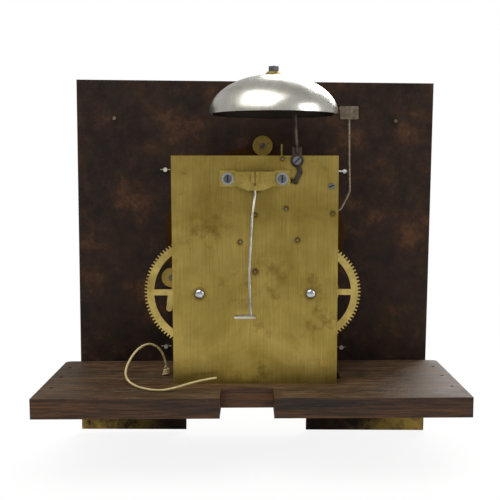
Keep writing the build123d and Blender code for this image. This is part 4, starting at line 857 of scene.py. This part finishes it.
# Hands: sawn from sheet steel, pierced, filed and blued over heat, which gives a deep blue-black.
# The colour runs a little purple where the metal is thin.
blued = worn_metal(
    "blued_steel", "#23304f", "#161a2b", "#2c2233", 12, 0.5, (1.0, 1.0, 0.1), 0.25,
    stain_edge=(0.55, 0.7),
)
finish(blued, "minute_hand", "hour_hand", "seconds_hand")
soften(["minute_hand", "hour_hand"], 0.2)


# Engraving: hour numerals, minute track and numbers, cut in the rings and filled with black wax.
# The wax stands level with the silvering and is drawn here as a film on it.
def black_wax():
    """Engraver's black wax: a smooth, slightly glossy black."""
    material, tree = blank_material("black_engravers_wax")
    place = add(tree, "ShaderNodeTexCoord").outputs["Object"]
    worn = add(tree, "ShaderNodeTexNoise", {"Vector": place, "Scale": per_mm(3), "Detail": 4.0})
    colour = add(
        tree, "ShaderNodeMix",
        {0: worn.outputs["Fac"], 6: linear("#0d0c0c"), 7: linear("#2a2724")}, data_type="RGBA",
    )
    shader = add(
        tree, "ShaderNodeBsdfPrincipled",
        {"Base Color": colour.outputs[2], "Roughness": 0.38},
    )
    add(tree, "ShaderNodeOutputMaterial", {"Surface": shader.outputs["BSDF"]})
    return material


wax = black_wax()
wax_film = 0.1
dial_centre_z = 102.0
dial_lean = math.radians(-0.5)


def inlay(name, outlines, face_y, body):
    """Thin wax prisms from outlines in millimetres about the dial's centre, on a plane of the dial."""
    mesh = bpy.data.meshes.new(name)
    shape = bmesh.new()
    top = -wax_film * MM
    for outline in outlines:
        lower = [shape.verts.new((u * MM, face_y, v * MM)) for u, v in outline]
        upper = [shape.verts.new((u * MM, face_y + top, v * MM)) for u, v in outline]
        shape.faces.new(upper)
        count = len(outline)
        for i in range(count):
            shape.faces.new((lower[i], lower[(i + 1) % count], upper[(i + 1) % count], upper[i]))
    bmesh.ops.recalc_face_normals(shape, faces=shape.faces)
    shape.to_mesh(mesh)
    shape.free()
    mesh.transform(Matrix.Rotation(dial_lean, 4, "Y"))
    mesh.transform(Matrix.Translation((0, 0, dial_centre_z * MM)))
    mesh.materials.append(wax)
    made = bpy.data.objects.new(name, mesh)
    bpy.context.scene.collection.objects.link(made)
    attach(made, body)


def stroke(start, end, width):
    """A straight cut of even width, as an outline of four corners."""
    along = Vector((end[0] - start[0], end[1] - start[1])).normalized()
    side = Vector((-along.y, along.x)) * width / 2
    return [
        (start[0] + side.x, start[1] + side.y),
        (start[0] - side.x, start[1] - side.y),
        (end[0] - side.x, end[1] - side.y),
        (end[0] + side.x, end[1] + side.y),
    ]


def roman(letters, height):
    """A Roman numeral's cuts about its middle, with thick and thin strokes and hairline feet."""
    thick = height * 0.15
    thin = height * 0.035
    widths = {"I": height * 0.27, "V": height * 0.56, "X": height * 0.56}
    total = sum(widths[letter] for letter in letters)
    cuts = []
    at = -total / 2
    low, high = -height / 2, height / 2
    for letter in letters:
        wide = widths[letter]
        mid = at + wide / 2
        reach = wide / 2 - height * 0.08
        if letter == "I":
            cuts.append(stroke((mid, low), (mid, high), thick))
        elif letter == "V":
            cuts.append(stroke((mid - reach, high), (mid, low), thick))
            cuts.append(stroke((mid + reach, high), (mid, low), thin))
        else:
            cuts.append(stroke((mid - reach, high), (mid + reach, low), thick))
            cuts.append(stroke((mid + reach, high), (mid - reach, low), thin))
        at += wide
    cuts.append(stroke((-total / 2, high), (total / 2, high), thin))
    cuts.append(stroke((-total / 2, low), (total / 2, low), thin))
    return cuts


def number(text, height):
    """A plain number's outlines about its middle."""
    data = bpy.data.curves.new("number", "FONT")
    data.body = text
    data.size = height * 1.35
    data.align_x = "CENTER"
    data.align_y = "CENTER"
    holder = bpy.data.objects.new("number", data)
    bpy.context.scene.collection.objects.link(holder)
    depsgraph = bpy.context.evaluated_depsgraph_get()
    mesh = bpy.data.meshes.new_from_object(holder.evaluated_get(depsgraph))
    outlines = [[tuple(mesh.vertices[i].co[:2]) for i in face.vertices] for face in mesh.polygons]
    bpy.data.objects.remove(holder)
    bpy.data.meshes.remove(mesh)
    return outlines


def round_dial(outlines, degrees, radius, outward=True, centre=(0.0, 0.0)):
    """Moves outlines out to a radius at a clockwise angle, with their tops outwards or inwards."""
    turn = math.radians(degrees)
    out = Vector((math.sin(turn), math.cos(turn)))
    right = Vector((math.cos(turn), -math.sin(turn)))
    sign = 1 if outward else -1
    moved = []
    for outline in outlines:
        moved.append(
            [
                tuple(Vector(centre) + out * (radius + sign * v) + right * sign * u)
                for u, v in outline
            ]
        )
    return moved


def circle_line(radius, width, centre=(0.0, 0.0), pieces=120):
    """A thin engraved circle as a run of short cuts."""
    cuts = []
    for i in range(pieces):
        ends = []
        for step in (i, i + 1):
            turn = step * math.tau / pieces
            ends.append((centre[0] + radius * math.sin(turn), centre[1] + radius * math.cos(turn)))
        cuts.append(stroke(ends[0], ends[1], width))
    return cuts


hour_numerals = ["XII", "I", "II", "III", "IIII", "V", "VI", "VII", "VIII", "IX", "X", "XI"]
numeral_r, numeral_height = 104.0, 17.0
track_inner, track_outer = 116.2, 119.6
minute_number_r, minute_number_height = 123.6, 4.6
quarter_inner, quarter_outer = 92.0, 92.0 + 2.4
diamond = [[(0, 3.0), (1.5, 0), (0, -3.0), (-1.5, 0)]]
thick_cut, thin_cut, circle_cut = 0.9, 0.35, 0.3
cuts = []
for hour, letters in enumerate(hour_numerals):
    turn = hour * 30
    minutes = number(str(hour * 5 or 60), minute_number_height)
    cuts += round_dial(roman(letters, numeral_height), turn, numeral_r)
    cuts += round_dial(diamond, turn + 15, numeral_r)
    cuts += round_dial(minutes, turn, minute_number_r)
for minute in range(60):
    wide = thick_cut if minute % 5 == 0 else thin_cut
    cuts += round_dial([stroke((0, track_inner), (0, track_outer), wide)], minute * 6, 0)
for quarter in range(48):
    tick = stroke((0, quarter_inner), (0, quarter_outer), thin_cut)
    cuts += round_dial([tick], quarter * 7.5, 0)
for radius in (track_inner, track_outer, quarter_inner, quarter_outer):
    cuts += circle_line(radius, circle_cut)
inlay("chapter_engraving", cuts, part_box("chapter_ring")[0][1], "frame")

seconds_centre = (0.0, 43.0)
seconds_r = 21.4
long_second, short_second, second_cut = 1.6, 1.0, 0.3
tens_r, tens_height = 17.4, 2.8
seconds_circle_cut, seconds_circle_pieces = 0.25, 60
cuts = []
for second in range(60):
    reach = long_second if second % 5 == 0 else short_second
    tick = stroke((0, seconds_r - reach), (0, seconds_r), second_cut)
    cuts += round_dial([tick], second * 6, 0, centre=seconds_centre)
for tens in range(6):
    digits = number(str(tens * 10 or 60), tens_height)
    cuts += round_dial(digits, tens * 60, tens_r, centre=seconds_centre)
cuts += circle_line(seconds_r, seconds_circle_cut, seconds_centre, seconds_circle_pieces)
inlay("seconds_engraving", cuts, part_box("seconds_ring")[0][1], "frame")

# The date ring's numbers have their feet outwards. Days count from 0, so 18 stands lowest.
date_centre = (0.0, 18.5)
days = 31
lowest_day = 17
date_number_r, date_number_height = 72.2, 6.0
cuts = []
for day in range(days):
    turn = 180 - (day - lowest_day) * 360 / days
    day_number = number(str(day + 1), date_number_height)
    cuts += round_dial(day_number, turn, date_number_r, False, date_centre)
inlay("date_numbers", cuts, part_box("date_ring")[0][1], "date")


# Barrel ends: the great arbors come through the back plate and are rounded over.
# They are polished steel domes, a little wider than the pivot, brown at the edge with old oil.
dome_r, dome_rise = 3.6, 1.7
dome_lift = 0.00002


def turned_dome(name, x, z, radius, rise, body):
    """A low, smooth steel dome on the back plate, turned from a short profile."""
    mesh = bpy.data.meshes.new(name)
    shape = bmesh.new()
    rings = 5
    around = 28
    rows = []
    for ring in range(rings):
        turn = ring / rings * math.pi / 2
        out = radius * math.cos(turn)
        height = plate_rear_y + rise * math.sin(turn) * MM + dome_lift
        row = []
        for step in range(around):
            angle = step * math.tau / around
            across, above = x + out * math.cos(angle), z + out * math.sin(angle)
            row.append(shape.verts.new((across * MM, height, above * MM)))
        rows.append(row)
    top = shape.verts.new((x * MM, plate_rear_y + rise * MM + dome_lift, z * MM))
    for low_row, high_row in zip(rows, rows[1:]):
        for step in range(around):
            after = (step + 1) % around
            shape.faces.new((low_row[step], low_row[after], high_row[after], high_row[step]))
    for step in range(around):
        shape.faces.new((rows[-1][step], rows[-1][(step + 1) % around], top))
    shape.faces.new(list(reversed(rows[0])))
    bmesh.ops.recalc_face_normals(shape, faces=shape.faces)
    for face in shape.faces:
        face.smooth = len(face.verts) < 5
    shape.to_mesh(mesh)
    shape.free()
    mesh.materials.append(bright_steel)
    made = bpy.data.objects.new(name, mesh)
    bpy.context.scene.collection.objects.link(made)
    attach(made, body)


for joint in frame["joints"]:
    if joint["child"] in ("going_drum", "strike_drum"):
        x, _, z = (value / MM for value in joint["pos_m"])
        turned_dome(f"{joint['child']}_pivot_dome", x, z, dome_r, dome_rise, joint["child"])
